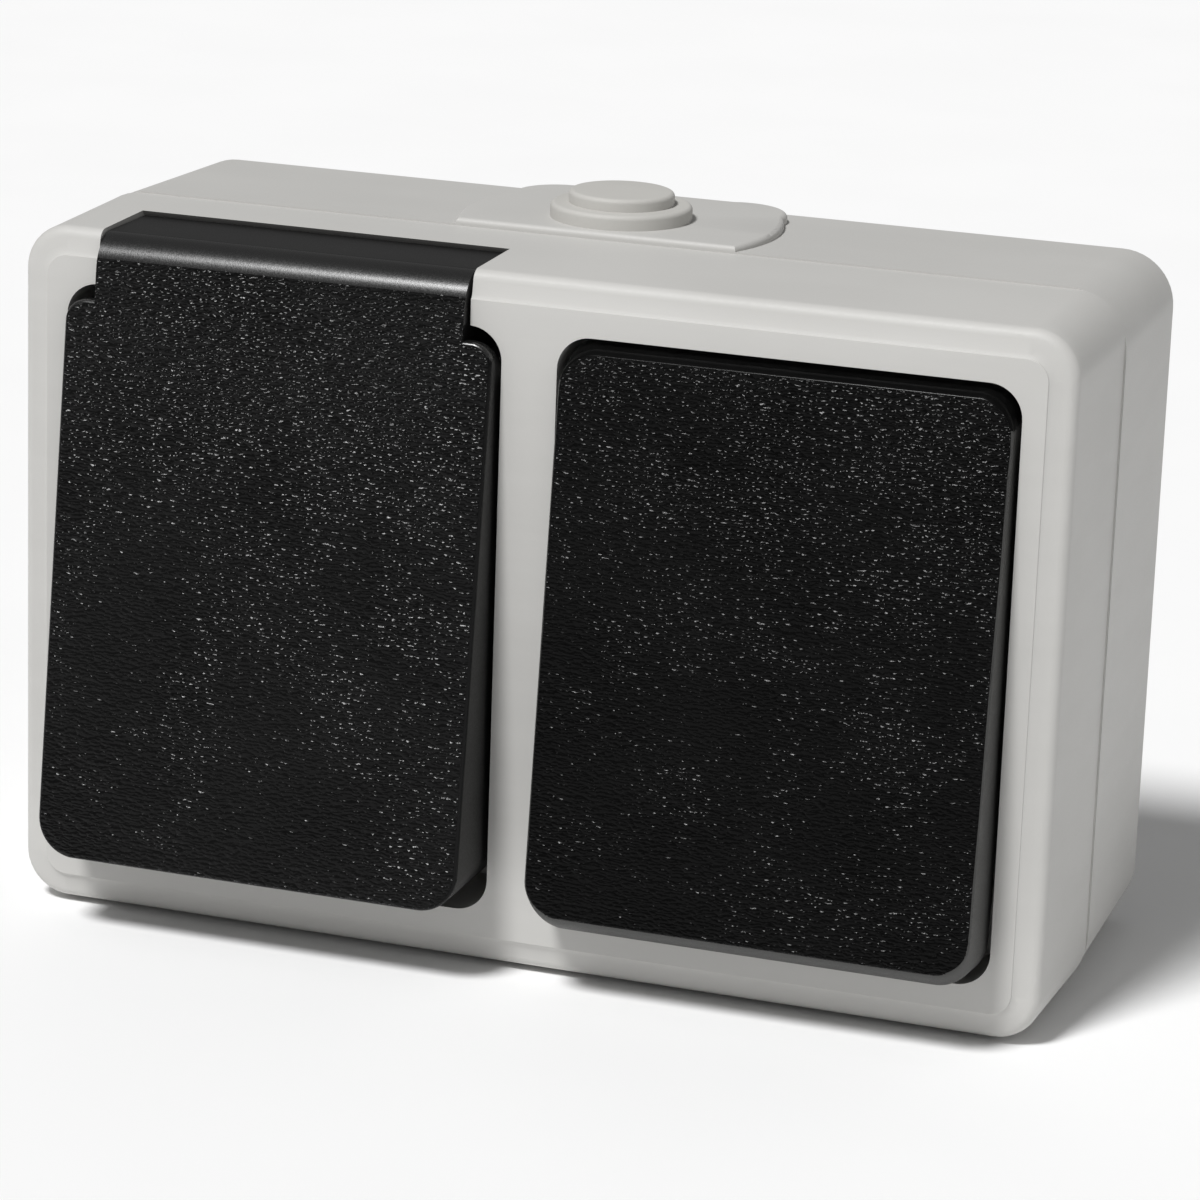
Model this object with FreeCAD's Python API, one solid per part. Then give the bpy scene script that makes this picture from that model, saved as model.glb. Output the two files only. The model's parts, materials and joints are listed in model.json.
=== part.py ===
import FreeCAD, Part
import math
import os

# Outdoor socket with a sprung lid and a rocker switch in one surface housing, in millimetres.
# +X is to the right, +Z is up, +Y goes into the wall, and the wall face is the plane Y = 0.
# Depths are counted from the front frame of the cover towards the wall.

V = FreeCAD.Vector

# Play round loose inner pieces, and overruns that make cuts and joins clean
FIT = 0.3
OVER = 1.0
MERGE = 0.1
NEAR = 0.01
LEAST_R = 0.5

# Rear box
BOX_W = 136.4
BOX_H = 89.6
BOX_DEPTH = 29.0
BOX_DRAFT = 0.7
BOX_CORNER = 7.6
BOX_WALL = 2.2
BOX_FLOOR = 2.5

# Front cover
COVER_DEPTH = 22.7
COVER_STEP = 0.25
COVER_CORNER = 6.2
COVER_DRAFT = 0.45
COVER_WALL = 2.2
FRAME_T = 2.4
EDGE_ROUND = 1.5
BAND_W = 3.35
BAND_DROP = 0.5
PLATEAU = 0.35
PLATEAU_ROUND = 0.15

# Openings in the front frame
DIVIDER = 7.1
FRAME_SIDE = 6.25
FRAME_END = 6.7
APERTURE_R = 4.2
POCKET_WALL = 1.7
SOCKET_FLOOR = 14.0
SWITCH_FLOOR = 11.0
FLOOR_T = 2.0

# Seal between box and cover
TONGUE_T = 1.5
TONGUE_L = 1.6
TONGUE_GAP = 0.3
GASKET_T = 1.4
GASKET_W = 2.0
LEDGE_W = 2.6
LEDGE_T = 1.0

# Cable entry
PAD_TOP = 0.75
PAD_HALF_FRONT = 18.4
PAD_HALF_MID = 20.2
PAD_HALF_REAR = 9.5
PAD_BACK = 1.7
PAD_ROUND = 0.7
PAD_TURN_BACK = 2.0
PAD_TURN_IN = 1.0
PAD_BOW = 0.2
ENTRY_DEPTH = 33.0
ENTRY_R = 5.2
GROMMET_LOW_R = 9.0
GROMMET_TOP_R = 6.7
GROMMET_LOW_H = 1.9
GROMMET_TOP_H = 1.6
GROMMET_SKIN = 1.2
GROMMET_BASE = 1.8
GROMMET_WALL = 1.2
GROMMET_TAPER = 0.8
GROMMET_ROUND = 0.6
GROMMET_FIT = 0.05
GROMMET_LIP = 0.8

# Screws of the housing
COVER_SCREW_IN = 4.2
SCREW_HEAD_R = 3.0
SCREW_HEAD_T = 1.8
SCREW_R = 1.38
THREAD_R = 1.4
DRIVER_SLOT = 0.9
SCREW_HOLE_R = 1.8
SCREW_SINK = 1.4
TUBE_R = 3.9
COVER_SCREW_BITE = 13.0
MECH_SCREW_L = 12.0
WALL_SLOT_X = 106.0
WALL_SLOT_Z = 50.0
WALL_SLOT_L = 8.0
WALL_SLOT_R = 2.4
WALL_BOSS_R = 5.6
WALL_BOSS_T = 2.0

# Hinge
HINGE_DEPTH = 8.2
LID_TOP_GAP = 0.3
BARREL_RISE = 4.45
BARREL_R = 6.7
BARREL_GAP = 0.45
TROUGH_WALL = 1.6
CHEEK_T = 2.6
SLOT_W = 49.4
TAB_GAP = 0.35
TAB_WALL = 1.2
TAB_FOOT = 8.8
BAY_BACK = 4.0
BAY_TOP = 4.0
PIN_R = 1.5
PIN_FIT = 0.06
PIN_SEAT = 0.03
PIN_SHORT = 0.1
KNUCKLE_L = 9.0
KNUCKLE_R = 3.6
KNUCKLE_WEB_T = 2.0
SPRING_WIRE_R = 0.4
SPRING_COIL_R = 2.5
SPRING_TURNS = 7
SPRING_PITCH = 1.15
SPRING_TANG_GAP = 0.05
SPRING_SHELF_W = 2.4
SPRING_SHELF_L = 3.0
SPRING_SHELF_T = 1.2

# Lid
LID_SIDE_GAP = 0.55
LID_BOTTOM_GAP = 2.7
LID_SHOULDER_GAP = 1.7
LID_RIM = 3.4
LID_LOW_PROUD = 10.2
LID_SLOPE = 0.12
LID_WALL = 2.0
LID_CORNER = 5.0
LID_SHOULDER_R = 2.8
LID_TOP_R = 4.5
LID_EDGE = 0.6
LID_RELIEF = 2.7
LID_SEAL_IN = 20.4
LID_SEAL_OUT = 23.2
LID_SEAL_T = 2.2
LID_SEAL_GAP = 0.3
LID_RIB_IN = 20.9
LID_RIB_OUT = 22.7

# Socket
SOCKET_Z = -2.0
DISH_SIDE_GAP = 1.05
DISH_TO_SCREW = 4.2
DISH_T = 2.0
DISH_CORNER = 5.0
DISH_RIM = 6.0
DISH_ROUND = 0.8
DISH_COLLAR_R = 23.6
RECESS_R = 19.75
RECESS_DEPTH = 17.5
DISH_BARREL_R = 21.9
DISH_HOLE_GAP = 0.3
DISH_FLOOR_T = 2.0
DISH_SCREW_L = 11.3
SINK_DEPTH = 1.2
SINK_GAP = 0.2
SINK_SLOT = 0.8
SINK_SLOT_DEPTH = 0.6
PIN_SPACING = 19.0
PIN_HOLE_R = 2.75
RIB_W = 4.6
RIB_IN = 1.8
RIB_START = 2.5
CLIP_SLOT_W = 7.0
CLIP_SLOT_TOP = 4.5
CLIP_SLOT_IN = 1.8
CLIP_W = 6.0
CLIP_T = 0.8
CLIP_HOOK = 3.0
CLIP_TIP_BACK = 1.0
CLIP_NOSE_RUN = 4.0
CLIP_ARM_RUN = 5.0
CLIP_TIP_OUT = 1.8
CARRIER_HALF = 20.0
CARRIER_CORNER = 5.0
CARRIER_T = 15.5
CARRIER_SCREW_HOLE = 12.4
EAR_OUT = 8.0
EAR_W = 10.0
EAR_T = 3.0
EAR_BACK = 5.0
EAR_SCREW = 4.0
EAR_FLAT = 0.5
SLEEVE_IN = 2.4
SLEEVE_OUT = 3.2
SLEEVE_L = 10.4
SLEEVE_SLIT = 1.2
SLEEVE_ROOT = 1.5
CAGE_W = 9.0
CAGE_H = 8.0
CAGE_L = 7.0
CAGE_SINK = 4.0
CAGE_EDGE = 1.5
CAGE_WIRE_BACK = 2.8
WIRE_R = 1.5
TERMINAL_R = 1.28
TERMINAL_THREAD_R = 1.3
TERMINAL_HEAD_R = 2.2
TERMINAL_HEAD_T = 1.5
TERMINAL_LIFT = 0.8
TERMINAL_SLOT = 0.7

# Rocker
ROCKER_TILT = 6.3
ROCKER_PROUD = 4.85
ROCKER_SIDE_GAP = 0.65
ROCKER_END_GAP = 0.6
ROCKER_SET_BACK = 2.1
ROCKER_END_R = 5.5
ROCKER_DEPTH = 9.5
ROCKER_CORNER = 4.6
ROCKER_WALL = 2.0
ROCKER_FACE_T = 2.2
ROCKER_EDGE = 0.4
PIVOT_DEPTH = 4.75
SKIRT_STEPS = 4
CLIP_RIB_T = 1.2
CLIP_RIB_GAP = 0.1
CLIP_RIB_SHORT = 2.0

# Switch mechanism
SWITCH_OPEN_H = 24.0
SWITCH_OPEN_R = 2.0
SEAL_T = 1.0
SEAL_IN = 1.0
SEAL_RIM_W = 3.5
SEAL_RIM_H = 6.0
SEAL_CORNER = 2.5
FLANGE_PAST = 5.0
FLANGE_STEP = 2.0
FLANGE_T = 2.0
BODY_HALF_X = 20.0
BODY_HALF_Z = 21.0
BODY_BACK = 40.0
BODY_CORNER = 3.0
CHAMBER_X = 14.0
CHAMBER_GAP = 0.1
CHAMBER_FLOOR = 27.0
POST_T = 3.2
POST_R = 3.2
POST_CLEAR = 2.3
TRUNNION_R = 2.0
TRUNNION_FIT = 0.06
TRUNNION_PAST = 0.2
CRADLE_W = 26.0
CRADLE_H = 22.0
CRADLE_T = 2.2
CHEEK_ARM_T = 2.0
CHEEK_ARM_R = 3.0
ARM_GAP = 0.5
STEM_R = 3.4
STEM_L = 9.0
STEM_BORE_R = 2.1
PLUNGER_R = 2.0
PLUNGER_REACH = 16.8
PLUNGER_BACK = 3.0
PLUNGER_BORE_R = 1.3
PLUNGER_BORE = 3.0
COIL_WIRE_R = 0.25
COIL_R = 1.6
COIL_TURNS = 5
BRIDGE_DEPTH = 22.6
BRIDGE_TILT = 7.0
BRIDGE_W = 5.0
BRIDGE_L = 25.0
BRIDGE_T = 1.0
BRIDGE_KNUCKLE_R = 1.0
BRIDGE_KNUCKLE_PAST = 0.8
RIVET_Z = 10.5
RIVET_R = 1.6
RIVET_T = 0.6
CONTACT_GAP = 0.18
CONTACT_T = 0.8
CONTACT_W = 6.0
CONTACT_PAD = 5.0
CONTACT_EDGE = 2.0
SEAT_H = 3.2

# Derived places
FRONT = -(BOX_DEPTH + COVER_DEPTH)
PARTING = -BOX_DEPTH
COVER_HALF_W = BOX_W / 2 - COVER_STEP
COVER_HALF_H = BOX_H / 2 - COVER_STEP
FRONT_HALF_W = COVER_HALF_W - COVER_DRAFT
FRONT_HALF_H = COVER_HALF_H - COVER_DRAFT
APERTURE_W = FRONT_HALF_W - DIVIDER / 2 - FRAME_SIDE
APERTURE_H = 2 * (FRONT_HALF_H - FRAME_END)
GANG_X = (DIVIDER + APERTURE_W) / 2
COVER_SCREW_X = APERTURE_W / 2 - COVER_SCREW_IN
COVER_SCREW_Z = APERTURE_H / 2 - COVER_SCREW_IN
HINGE_Y = FRONT + HINGE_DEPTH
LID_TOP = FRONT_HALF_H - LID_TOP_GAP
HINGE_Z = LID_TOP - BARREL_RISE
TROUGH_R = BARREL_R + BARREL_GAP
DISH_W = APERTURE_W - 2 * DISH_SIDE_GAP
DISH_H = 2 * (COVER_SCREW_Z + SOCKET_Z - DISH_TO_SCREW)
DISH_BACK = DISH_RIM + RECESS_DEPTH + DISH_FLOOR_T
ROCKER_HALF_H = APERTURE_H / 2 - ROCKER_END_GAP
PIVOT_Y = FRONT + PIVOT_DEPTH
ROCKER_ARM = PIVOT_DEPTH + ROCKER_PROUD
SEAL_FRONT = SWITCH_FLOOR + FLOOR_T
FLANGE_FRONT = SEAL_FRONT + SEAL_T
POST_OUT = CRADLE_W / 2 + ARM_GAP + POST_T
SWITCH_OPEN_W = 2 * (POST_OUT + POST_CLEAR)
FLANGE_W = SWITCH_OPEN_W + 2 * FLANGE_PAST
FLANGE_H = 2 * (BODY_HALF_Z + FLANGE_STEP)
CONTACT_Z = BODY_HALF_Z - CAGE_H / 2 - CONTACT_EDGE
CHAMBER_Z = 2 * (CONTACT_Z + CONTACT_T / 2 + CHAMBER_GAP)
EAR_BACK_DEPTH = DISH_BACK + CARRIER_T - EAR_BACK
BODY_EAR_DEPTH = BODY_BACK - EAR_BACK
BRIDGE_Y = FRONT + BRIDGE_DEPTH


def at(depth):
    """Y of a plane at a depth behind the front frame."""
    return FRONT + depth


def block(x0, x1, y0, y1, z0, z1):
    return Part.makeBox(x1 - x0, y1 - y0, z1 - z0, V(x0, y0, z0))


def rod_y(x, z, r, y0, y1):
    return Part.makeCylinder(r, y1 - y0, V(x, y0, z), V(0, 1, 0))


def rod_x(y, z, r, x0, x1):
    return Part.makeCylinder(r, x1 - x0, V(x0, y, z), V(1, 0, 0))


def tube_y(x, z, r_out, r_in, y0, y1):
    return rod_y(x, z, r_out, y0, y1).cut(rod_y(x, z, r_in, y0, y1))


def rounded_wire(half_w, half_h, r, y, cx=0.0, cz=0.0, r_low=None):
    """Rounded rectangle in the plane Y = y, with its own radius for the lower corners if given."""
    low = r if r_low is None else r_low
    corners = ((1, 1, r), (-1, 1, r), (-1, -1, low), (1, -1, low))
    edges = []
    last = None
    first = None
    for index, (sx, sz, rad) in enumerate(corners):
        mx = cx + sx * (half_w - rad)
        mz = cz + sz * (half_h - rad)
        side = V(cx + sx * half_w, y, mz)
        level = V(mx, y, cz + sz * half_h)
        bow = math.sqrt(0.5) * rad
        middle = V(mx + sx * bow, y, mz + sz * bow)
        start, end = (side, level) if index % 2 == 0 else (level, side)
        if last is not None:
            edges.append(Part.LineSegment(last, start).toShape())
        else:
            first = start
        edges.append(Part.Arc(start, middle, end).toShape())
        last = end
    edges.append(Part.LineSegment(last, first).toShape())
    return Part.Wire(edges)


def plate(half_w, half_h, r, y0, y1, cx=0.0, cz=0.0, r_low=None):
    """Straight prism along Y with a rounded rectangular outline."""
    wire = rounded_wire(half_w, half_h, r, y0, cx, cz, r_low)
    return Part.Face(wire).extrude(V(0, y1 - y0, 0))


def ring(half_w, half_h, r, thick, y0, y1):
    """Rectangular ring along Y, measured at its outer outline."""
    outer = plate(half_w, half_h, r, y0, y1)
    inner = plate(half_w - thick, half_h - thick, max(r - thick, LEAST_R), y0, y1)
    return outer.cut(inner)


def frustum(first, second):
    return Part.makeLoft([first, second], True, True)


def profile_x(points, x0, x1):
    """Polygon in the YZ plane, given as (y, z) points, extruded along X."""
    corners = [V(x0, y, z) for y, z in points]
    wire = Part.makePolygon(corners + corners[:1])
    return Part.Face(wire).extrude(V(x1 - x0, 0, 0))


def fuse_all(shapes):
    result = shapes[0]
    if len(shapes) > 1:
        result = result.fuse(shapes[1:])
    return result.removeSplitter()


def turned(shape, y, z, degrees):
    """Copy of a shape turned about a line along X through (y, z)."""
    copy = shape.copy()
    copy.rotate(V(0, y, z), V(1, 0, 0), degrees)
    return copy


def edges_where(shape, test):
    return [edge for edge in shape.Edges if test(edge.BoundBox)]


def box_corner(inset, y):
    """Half sizes and corner radius of the box's outline at Y = y, moved inwards by inset."""
    share = (y - PARTING) / BOX_DEPTH
    narrow = BOX_DRAFT * share + inset
    return BOX_W / 2 - narrow, BOX_H / 2 - narrow, max(BOX_CORNER - narrow, LEAST_R)


def box_wire(inset, y):
    half_w, half_h, r = box_corner(inset, y)
    return rounded_wire(half_w, half_h, r, y)


def pad_outline(z):
    """Outline of the cable-entry pad in the plane Z = z: straight in front, bowed sides, round behind."""
    rear = -PAD_BACK
    mid = at(ENTRY_DEPTH)
    turn = (mid + rear) / 2 + PAD_TURN_BACK
    side = (PAD_HALF_FRONT + PAD_HALF_MID) / 2 - PAD_TURN_IN
    p_front = V(PAD_HALF_FRONT, PARTING, z)
    p_mid = V(PAD_HALF_MID, mid, z)
    p_turn = V(side, turn, z)
    p_rear = V(PAD_HALF_REAR, rear, z)
    reach = math.hypot(side - PAD_HALF_REAR, rear - turn)
    bend = V((side + PAD_HALF_REAR) / 2 + PAD_BOW * reach, (turn + rear) / 2 + PAD_BOW * reach, z)

    def mirror(p):
        return V(-p.x, p.y, p.z)

    edges = [
        Part.Arc(p_front, p_mid, p_turn).toShape(),
        Part.Arc(p_turn, bend, p_rear).toShape(),
        Part.LineSegment(p_rear, mirror(p_rear)).toShape(),
        Part.Arc(mirror(p_rear), mirror(bend), mirror(p_turn)).toShape(),
        Part.Arc(mirror(p_turn), mirror(p_mid), mirror(p_front)).toShape(),
        Part.LineSegment(mirror(p_front), p_front).toShape(),
    ]
    return Part.Wire(edges)


def cover_screw_places():
    """X and Z of the cover screws: low under the lid, high behind the rocker."""
    return [
        (-GANG_X - COVER_SCREW_X, -COVER_SCREW_Z, SOCKET_FLOOR),
        (-GANG_X + COVER_SCREW_X, -COVER_SCREW_Z, SOCKET_FLOOR),
        (GANG_X - COVER_SCREW_X, COVER_SCREW_Z, SWITCH_FLOOR),
        (GANG_X + COVER_SCREW_X, COVER_SCREW_Z, SWITCH_FLOOR),
    ]


def ear_screw_places(half):
    return (-half - EAR_SCREW, half + EAR_SCREW)


def rear_box():
    body = frustum(box_wire(0, PARTING), box_wire(0, 0))
    pad_low = BOX_H / 2 - BOX_WALL
    pad_high = BOX_H / 2 + PAD_TOP
    pad = Part.Face(pad_outline(pad_low)).extrude(V(0, 0, pad_high - pad_low))
    top_edges = edges_where(pad, lambda b: b.ZMin > pad_high - MERGE)
    pad = pad.makeFillet(PAD_ROUND, top_edges)
    body = body.fuse(pad)
    cavity = frustum(box_wire(BOX_WALL, PARTING), box_wire(BOX_WALL, -BOX_FLOOR))
    body = body.cut(cavity)

    ledge_front = PARTING + TONGUE_L + GASKET_T
    half_w, half_h, r = box_corner(BOX_WALL / 2, ledge_front)
    ledge = ring(half_w, half_h, r, BOX_WALL / 2 + LEDGE_W, ledge_front, ledge_front + LEDGE_T)
    additions = [ledge]
    holes = []
    for x, z, _ in cover_screw_places():
        additions.append(rod_y(x, z, TUBE_R, PARTING, -BOX_FLOOR / 2))
        holes.append(rod_y(x, z, THREAD_R, PARTING, PARTING + COVER_SCREW_BITE + OVER))
    for cx, cz, half, depth in (
        (-GANG_X, SOCKET_Z, CARRIER_HALF, EAR_BACK_DEPTH),
        (GANG_X, 0.0, BODY_HALF_X, BODY_EAR_DEPTH),
    ):
        for side in ear_screw_places(half):
            additions.append(rod_y(cx + side, cz, TUBE_R, at(depth), -BOX_FLOOR / 2))
            holes.append(rod_y(cx + side, cz, THREAD_R, at(depth), at(depth) + MECH_SCREW_L - EAR_T + OVER))
    for sx in (-1, 1):
        for sz in (-1, 1):
            x = sx * WALL_SLOT_X / 2
            z = sz * WALL_SLOT_Z / 2
            run = WALL_SLOT_L / 2 - WALL_SLOT_R
            boss = plate(run + WALL_BOSS_R, WALL_BOSS_R, WALL_BOSS_R - MERGE,
                         -BOX_FLOOR - WALL_BOSS_T, -BOX_FLOOR / 2, x, z)
            additions.append(boss)
            slot = block(x - run, x + run, -BOX_FLOOR - WALL_BOSS_T, 0, z - WALL_SLOT_R, z + WALL_SLOT_R)
            for end in (x - run, x + run):
                slot = slot.fuse(rod_y(end, z, WALL_SLOT_R, -BOX_FLOOR - WALL_BOSS_T, 0))
            holes.append(slot.removeSplitter())
    entry_low = BOX_H / 2 - BOX_WALL - LEDGE_W
    entry_high = BOX_H / 2 + PAD_TOP + OVER
    holes.append(Part.makeCylinder(ENTRY_R, entry_high - entry_low, V(0, at(ENTRY_DEPTH), entry_low)))
    body = body.fuse(additions)
    return body.cut(holes).removeSplitter()


def cable_grommet():
    """Stepped rubber seal, closed by a thin skin that is cut open for the cable."""
    y = at(ENTRY_DEPTH)
    pad = BOX_H / 2 + PAD_TOP
    inside = BOX_H / 2 - BOX_DRAFT - BOX_WALL
    base = inside - GROMMET_BASE
    parts = [
        Part.makeCylinder(ENTRY_R - GROMMET_FIT, pad - base, V(0, y, base)),
        Part.makeCylinder(ENTRY_R + GROMMET_LIP, GROMMET_SKIN, V(0, y, base)),
    ]
    low = Part.makeCylinder(GROMMET_LOW_R, GROMMET_LOW_H, V(0, y, pad))
    low = low.makeFillet(GROMMET_ROUND, edges_where(low, lambda b: b.ZMin > pad + GROMMET_LOW_H - MERGE))
    high = Part.makeCylinder(GROMMET_TOP_R, GROMMET_TOP_H + GROMMET_LOW_H, V(0, y, pad))
    top_z = pad + GROMMET_LOW_H + GROMMET_TOP_H
    high = high.makeFillet(GROMMET_ROUND, edges_where(high, lambda b: b.ZMin > top_z - MERGE))
    body = fuse_all(parts + [low, high])
    hollow_h = top_z - GROMMET_SKIN - base
    bore_r = ENTRY_R - GROMMET_WALL
    hollow = Part.makeCone(bore_r, bore_r - GROMMET_TAPER, hollow_h, V(0, y, base))
    return body.cut(hollow)


def cover_shell():
    """Outer body of the cover: drafted sides, rounded edge, sloping band and raised front frame."""
    edge_y = at(PLATEAU + BAND_DROP)
    rear = rounded_wire(COVER_HALF_W, COVER_HALF_H, COVER_CORNER, PARTING)
    front = rounded_wire(FRONT_HALF_W, FRONT_HALF_H, COVER_CORNER - COVER_DRAFT, edge_y)
    step_w = FRONT_HALF_W - BAND_W
    step_h = FRONT_HALF_H - BAND_W
    step_r = COVER_CORNER - BAND_W
    step = rounded_wire(step_w, step_h, step_r, at(PLATEAU))
    body = frustum(rear, front).fuse(frustum(front, step)).removeSplitter()
    rim = edges_where(body, lambda b: abs(b.YMin - edge_y) < NEAR and abs(b.YMax - edge_y) < NEAR)
    body = body.makeFillet(EDGE_ROUND, rim)
    raised = plate(step_w, step_h, step_r, FRONT, at(PLATEAU) + MERGE)
    raised = raised.makeFillet(PLATEAU_ROUND, edges_where(raised, lambda b: b.YMax < FRONT + NEAR))
    return body.fuse(raised).removeSplitter()


def cover_hollow():
    rear = rounded_wire(COVER_HALF_W - COVER_WALL, COVER_HALF_H - COVER_WALL,
                        COVER_CORNER - COVER_WALL, PARTING)
    front = rounded_wire(FRONT_HALF_W - COVER_WALL, FRONT_HALF_H - COVER_WALL,
                         COVER_CORNER - COVER_WALL, at(FRAME_T))
    return frustum(rear, front)


def aperture(cx, depth_0, depth_1, grow=0.0):
    return plate(APERTURE_W / 2 + grow, APERTURE_H / 2 + grow, APERTURE_R + grow,
                 at(depth_0), at(depth_1), cx)


def front_cover():
    outline = cover_shell()
    shell = outline.cut(cover_hollow())
    slot_0 = -GANG_X - SLOT_W / 2
    slot_1 = -GANG_X + SLOT_W / 2
    walls = [
        aperture(-GANG_X, FRAME_T / 2, SOCKET_FLOOR + FLOOR_T, POCKET_WALL),
        aperture(GANG_X, FRAME_T / 2, SWITCH_FLOOR + FLOOR_T, POCKET_WALL),
    ]
    trough = rod_x(HINGE_Y, HINGE_Z, TROUGH_R + TROUGH_WALL, slot_0 - CHEEK_T, slot_1 + CHEEK_T)
    walls.append(trough.common(outline))
    for x, z, floor in cover_screw_places():
        walls.append(rod_y(x, z, TUBE_R, at(floor + FLOOR_T / 2), PARTING))
    half_w, half_h, r = box_corner(BOX_WALL + TONGUE_GAP, PARTING)
    tongue = ring(half_w, half_h, r, TONGUE_T, PARTING - COVER_WALL, PARTING + TONGUE_L)
    rim_inner = plate(half_w - TONGUE_T, half_h - TONGUE_T, max(r - TONGUE_T, LEAST_R),
                      PARTING - COVER_WALL, PARTING)
    foot = plate(COVER_HALF_W - COVER_WALL / 2, COVER_HALF_H - COVER_WALL / 2,
                 COVER_CORNER - COVER_WALL / 2, PARTING - COVER_WALL, PARTING)
    walls += [tongue, foot.cut(rim_inner)]
    body = shell.fuse(walls)

    cuts = [
        aperture(-GANG_X, -OVER, SOCKET_FLOOR),
        aperture(GANG_X, -OVER, SWITCH_FLOOR),
        rod_x(HINGE_Y, HINGE_Z, TROUGH_R, slot_0, slot_1),
        block(slot_0, slot_1, FRONT - OVER, HINGE_Y, APERTURE_H / 2 - APERTURE_R, BOX_H / 2 + OVER),
        rod_x(HINGE_Y, HINGE_Z, PIN_R + PIN_SEAT, slot_0 - CHEEK_T - OVER, slot_1 + CHEEK_T + OVER),
        rod_y(-GANG_X, SOCKET_Z, DISH_BARREL_R + DISH_HOLE_GAP, at(SOCKET_FLOOR) - OVER,
              at(SOCKET_FLOOR + FLOOR_T) + OVER),
        plate(SWITCH_OPEN_W / 2, SWITCH_OPEN_H / 2, SWITCH_OPEN_R, at(SWITCH_FLOOR) - OVER,
              at(SWITCH_FLOOR + FLOOR_T) + OVER, GANG_X),
    ]
    for x, z, floor in cover_screw_places():
        cuts.append(rod_y(x, z, SCREW_HEAD_R + SINK_GAP, at(floor) - OVER, at(floor + SCREW_SINK)))
        cuts.append(rod_y(x, z, SCREW_HOLE_R, at(floor), PARTING + OVER))
    return body.cut(cuts).removeSplitter()


def cover_gasket():
    half_w, half_h, r = box_corner(BOX_WALL + TONGUE_GAP, PARTING + TONGUE_L)
    return ring(half_w, half_h, r, GASKET_W, PARTING + TONGUE_L, PARTING + TONGUE_L + GASKET_T)


def screw(x, z, head_y, length, head_r=SCREW_HEAD_R, shank_r=SCREW_R, head_t=SCREW_HEAD_T,
          slot_w=DRIVER_SLOT):
    """Cheese-head screw along Y with a driver slot; its head stands in front of head_y."""
    head = rod_y(x, z, head_r, head_y - head_t, head_y)
    shank = rod_y(x, z, shank_r, head_y - MERGE, head_y + length)
    body = head.fuse(shank).removeSplitter()
    slot = block(x - head_r - OVER, x + head_r + OVER, head_y - head_t - OVER, head_y - head_t / 2,
                 z - slot_w / 2, z + slot_w / 2)
    return body.cut(slot)


def cover_screws():
    """Four cover screws, their heads sunk in the floors of the two openings."""
    group = []
    for x, z, floor in cover_screw_places():
        seat = at(floor + SCREW_SINK)
        group.append(screw(x, z, seat, PARTING + COVER_SCREW_BITE - seat))
    return Part.makeCompound(group)


def spring_ends():
    """X of the coil's two ends: the leg that presses on the lid, and the tang held in the pin."""
    half = SPRING_PITCH * SPRING_TURNS / 2
    return -GANG_X - half, -GANG_X + half


def hinge_pin():
    """Fixed pin between the cheeks of the trough, cross-drilled for the spring's tang."""
    reach = SLOT_W / 2 + CHEEK_T - PIN_SHORT
    pin = rod_x(HINGE_Y, HINGE_Z, PIN_R, -GANG_X - reach, -GANG_X + reach)
    _, tang_x = spring_ends()
    low = HINGE_Z - PIN_R * 2
    hole = Part.makeCylinder(SPRING_WIRE_R + SPRING_TANG_GAP, HINGE_Z - low, V(tang_x, HINGE_Y, low))
    return pin.cut(hole)


def helix_tube(coil_r, wire_r, pitch, turns):
    """Round wire wound about the Z axis, from Z = 0 up."""
    path = Part.makeHelix(pitch, pitch * turns, coil_r)
    start = Part.Wire([Part.makeCircle(wire_r, V(coil_r, 0, 0), V(0, 1, 0))])
    return Part.Wire(path.Edges).makePipeShell([start], True, True)


def spring_leg_end():
    """Y where the spring's leg ends, just short of the lid's inner face."""
    return at(lid_face_depth(HINGE_Z - SPRING_COIL_R, TAB_WALL)) + SPRING_WIRE_R


def lid_spring():
    """Torsion spring round the pin: a leg forward into the lid and a tang down through the pin."""
    leg_x, tang_x = spring_ends()
    coil = helix_tube(SPRING_COIL_R, SPRING_WIRE_R, SPRING_PITCH, SPRING_TURNS)
    coil.rotate(V(0, 0, 0), V(0, 1, 0), 90)
    coil.translate(V(leg_x, HINGE_Y, HINGE_Z))
    leg = rod_y(leg_x, HINGE_Z - SPRING_COIL_R, SPRING_WIRE_R, spring_leg_end(), HINGE_Y)
    tang = Part.makeCylinder(SPRING_WIRE_R, SPRING_COIL_R - SPRING_WIRE_R / 2,
                             V(tang_x, HINGE_Y, HINGE_Z - SPRING_COIL_R))
    return fuse_all([coil, leg, tang])


def lid_face_depth(z, back=0.0):
    """Depth of the lid's sloping face at height z, moved inwards by back."""
    low = -(APERTURE_H / 2 - LID_BOTTOM_GAP)
    return -LID_LOW_PROUD + LID_SLOPE * (z - low) + back * math.hypot(1, LID_SLOPE)


def lid_wedge(back, rear):
    """Everything between the lid's sloping face and the plane at depth rear."""
    low = -APERTURE_H
    high = APERTURE_H
    points = [
        (at(lid_face_depth(low, back)), low),
        (at(lid_face_depth(high, back)), high),
        (at(rear), high),
        (at(rear), low),
    ]
    return profile_x(points, -GANG_X - APERTURE_W, -GANG_X + APERTURE_W)


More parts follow.
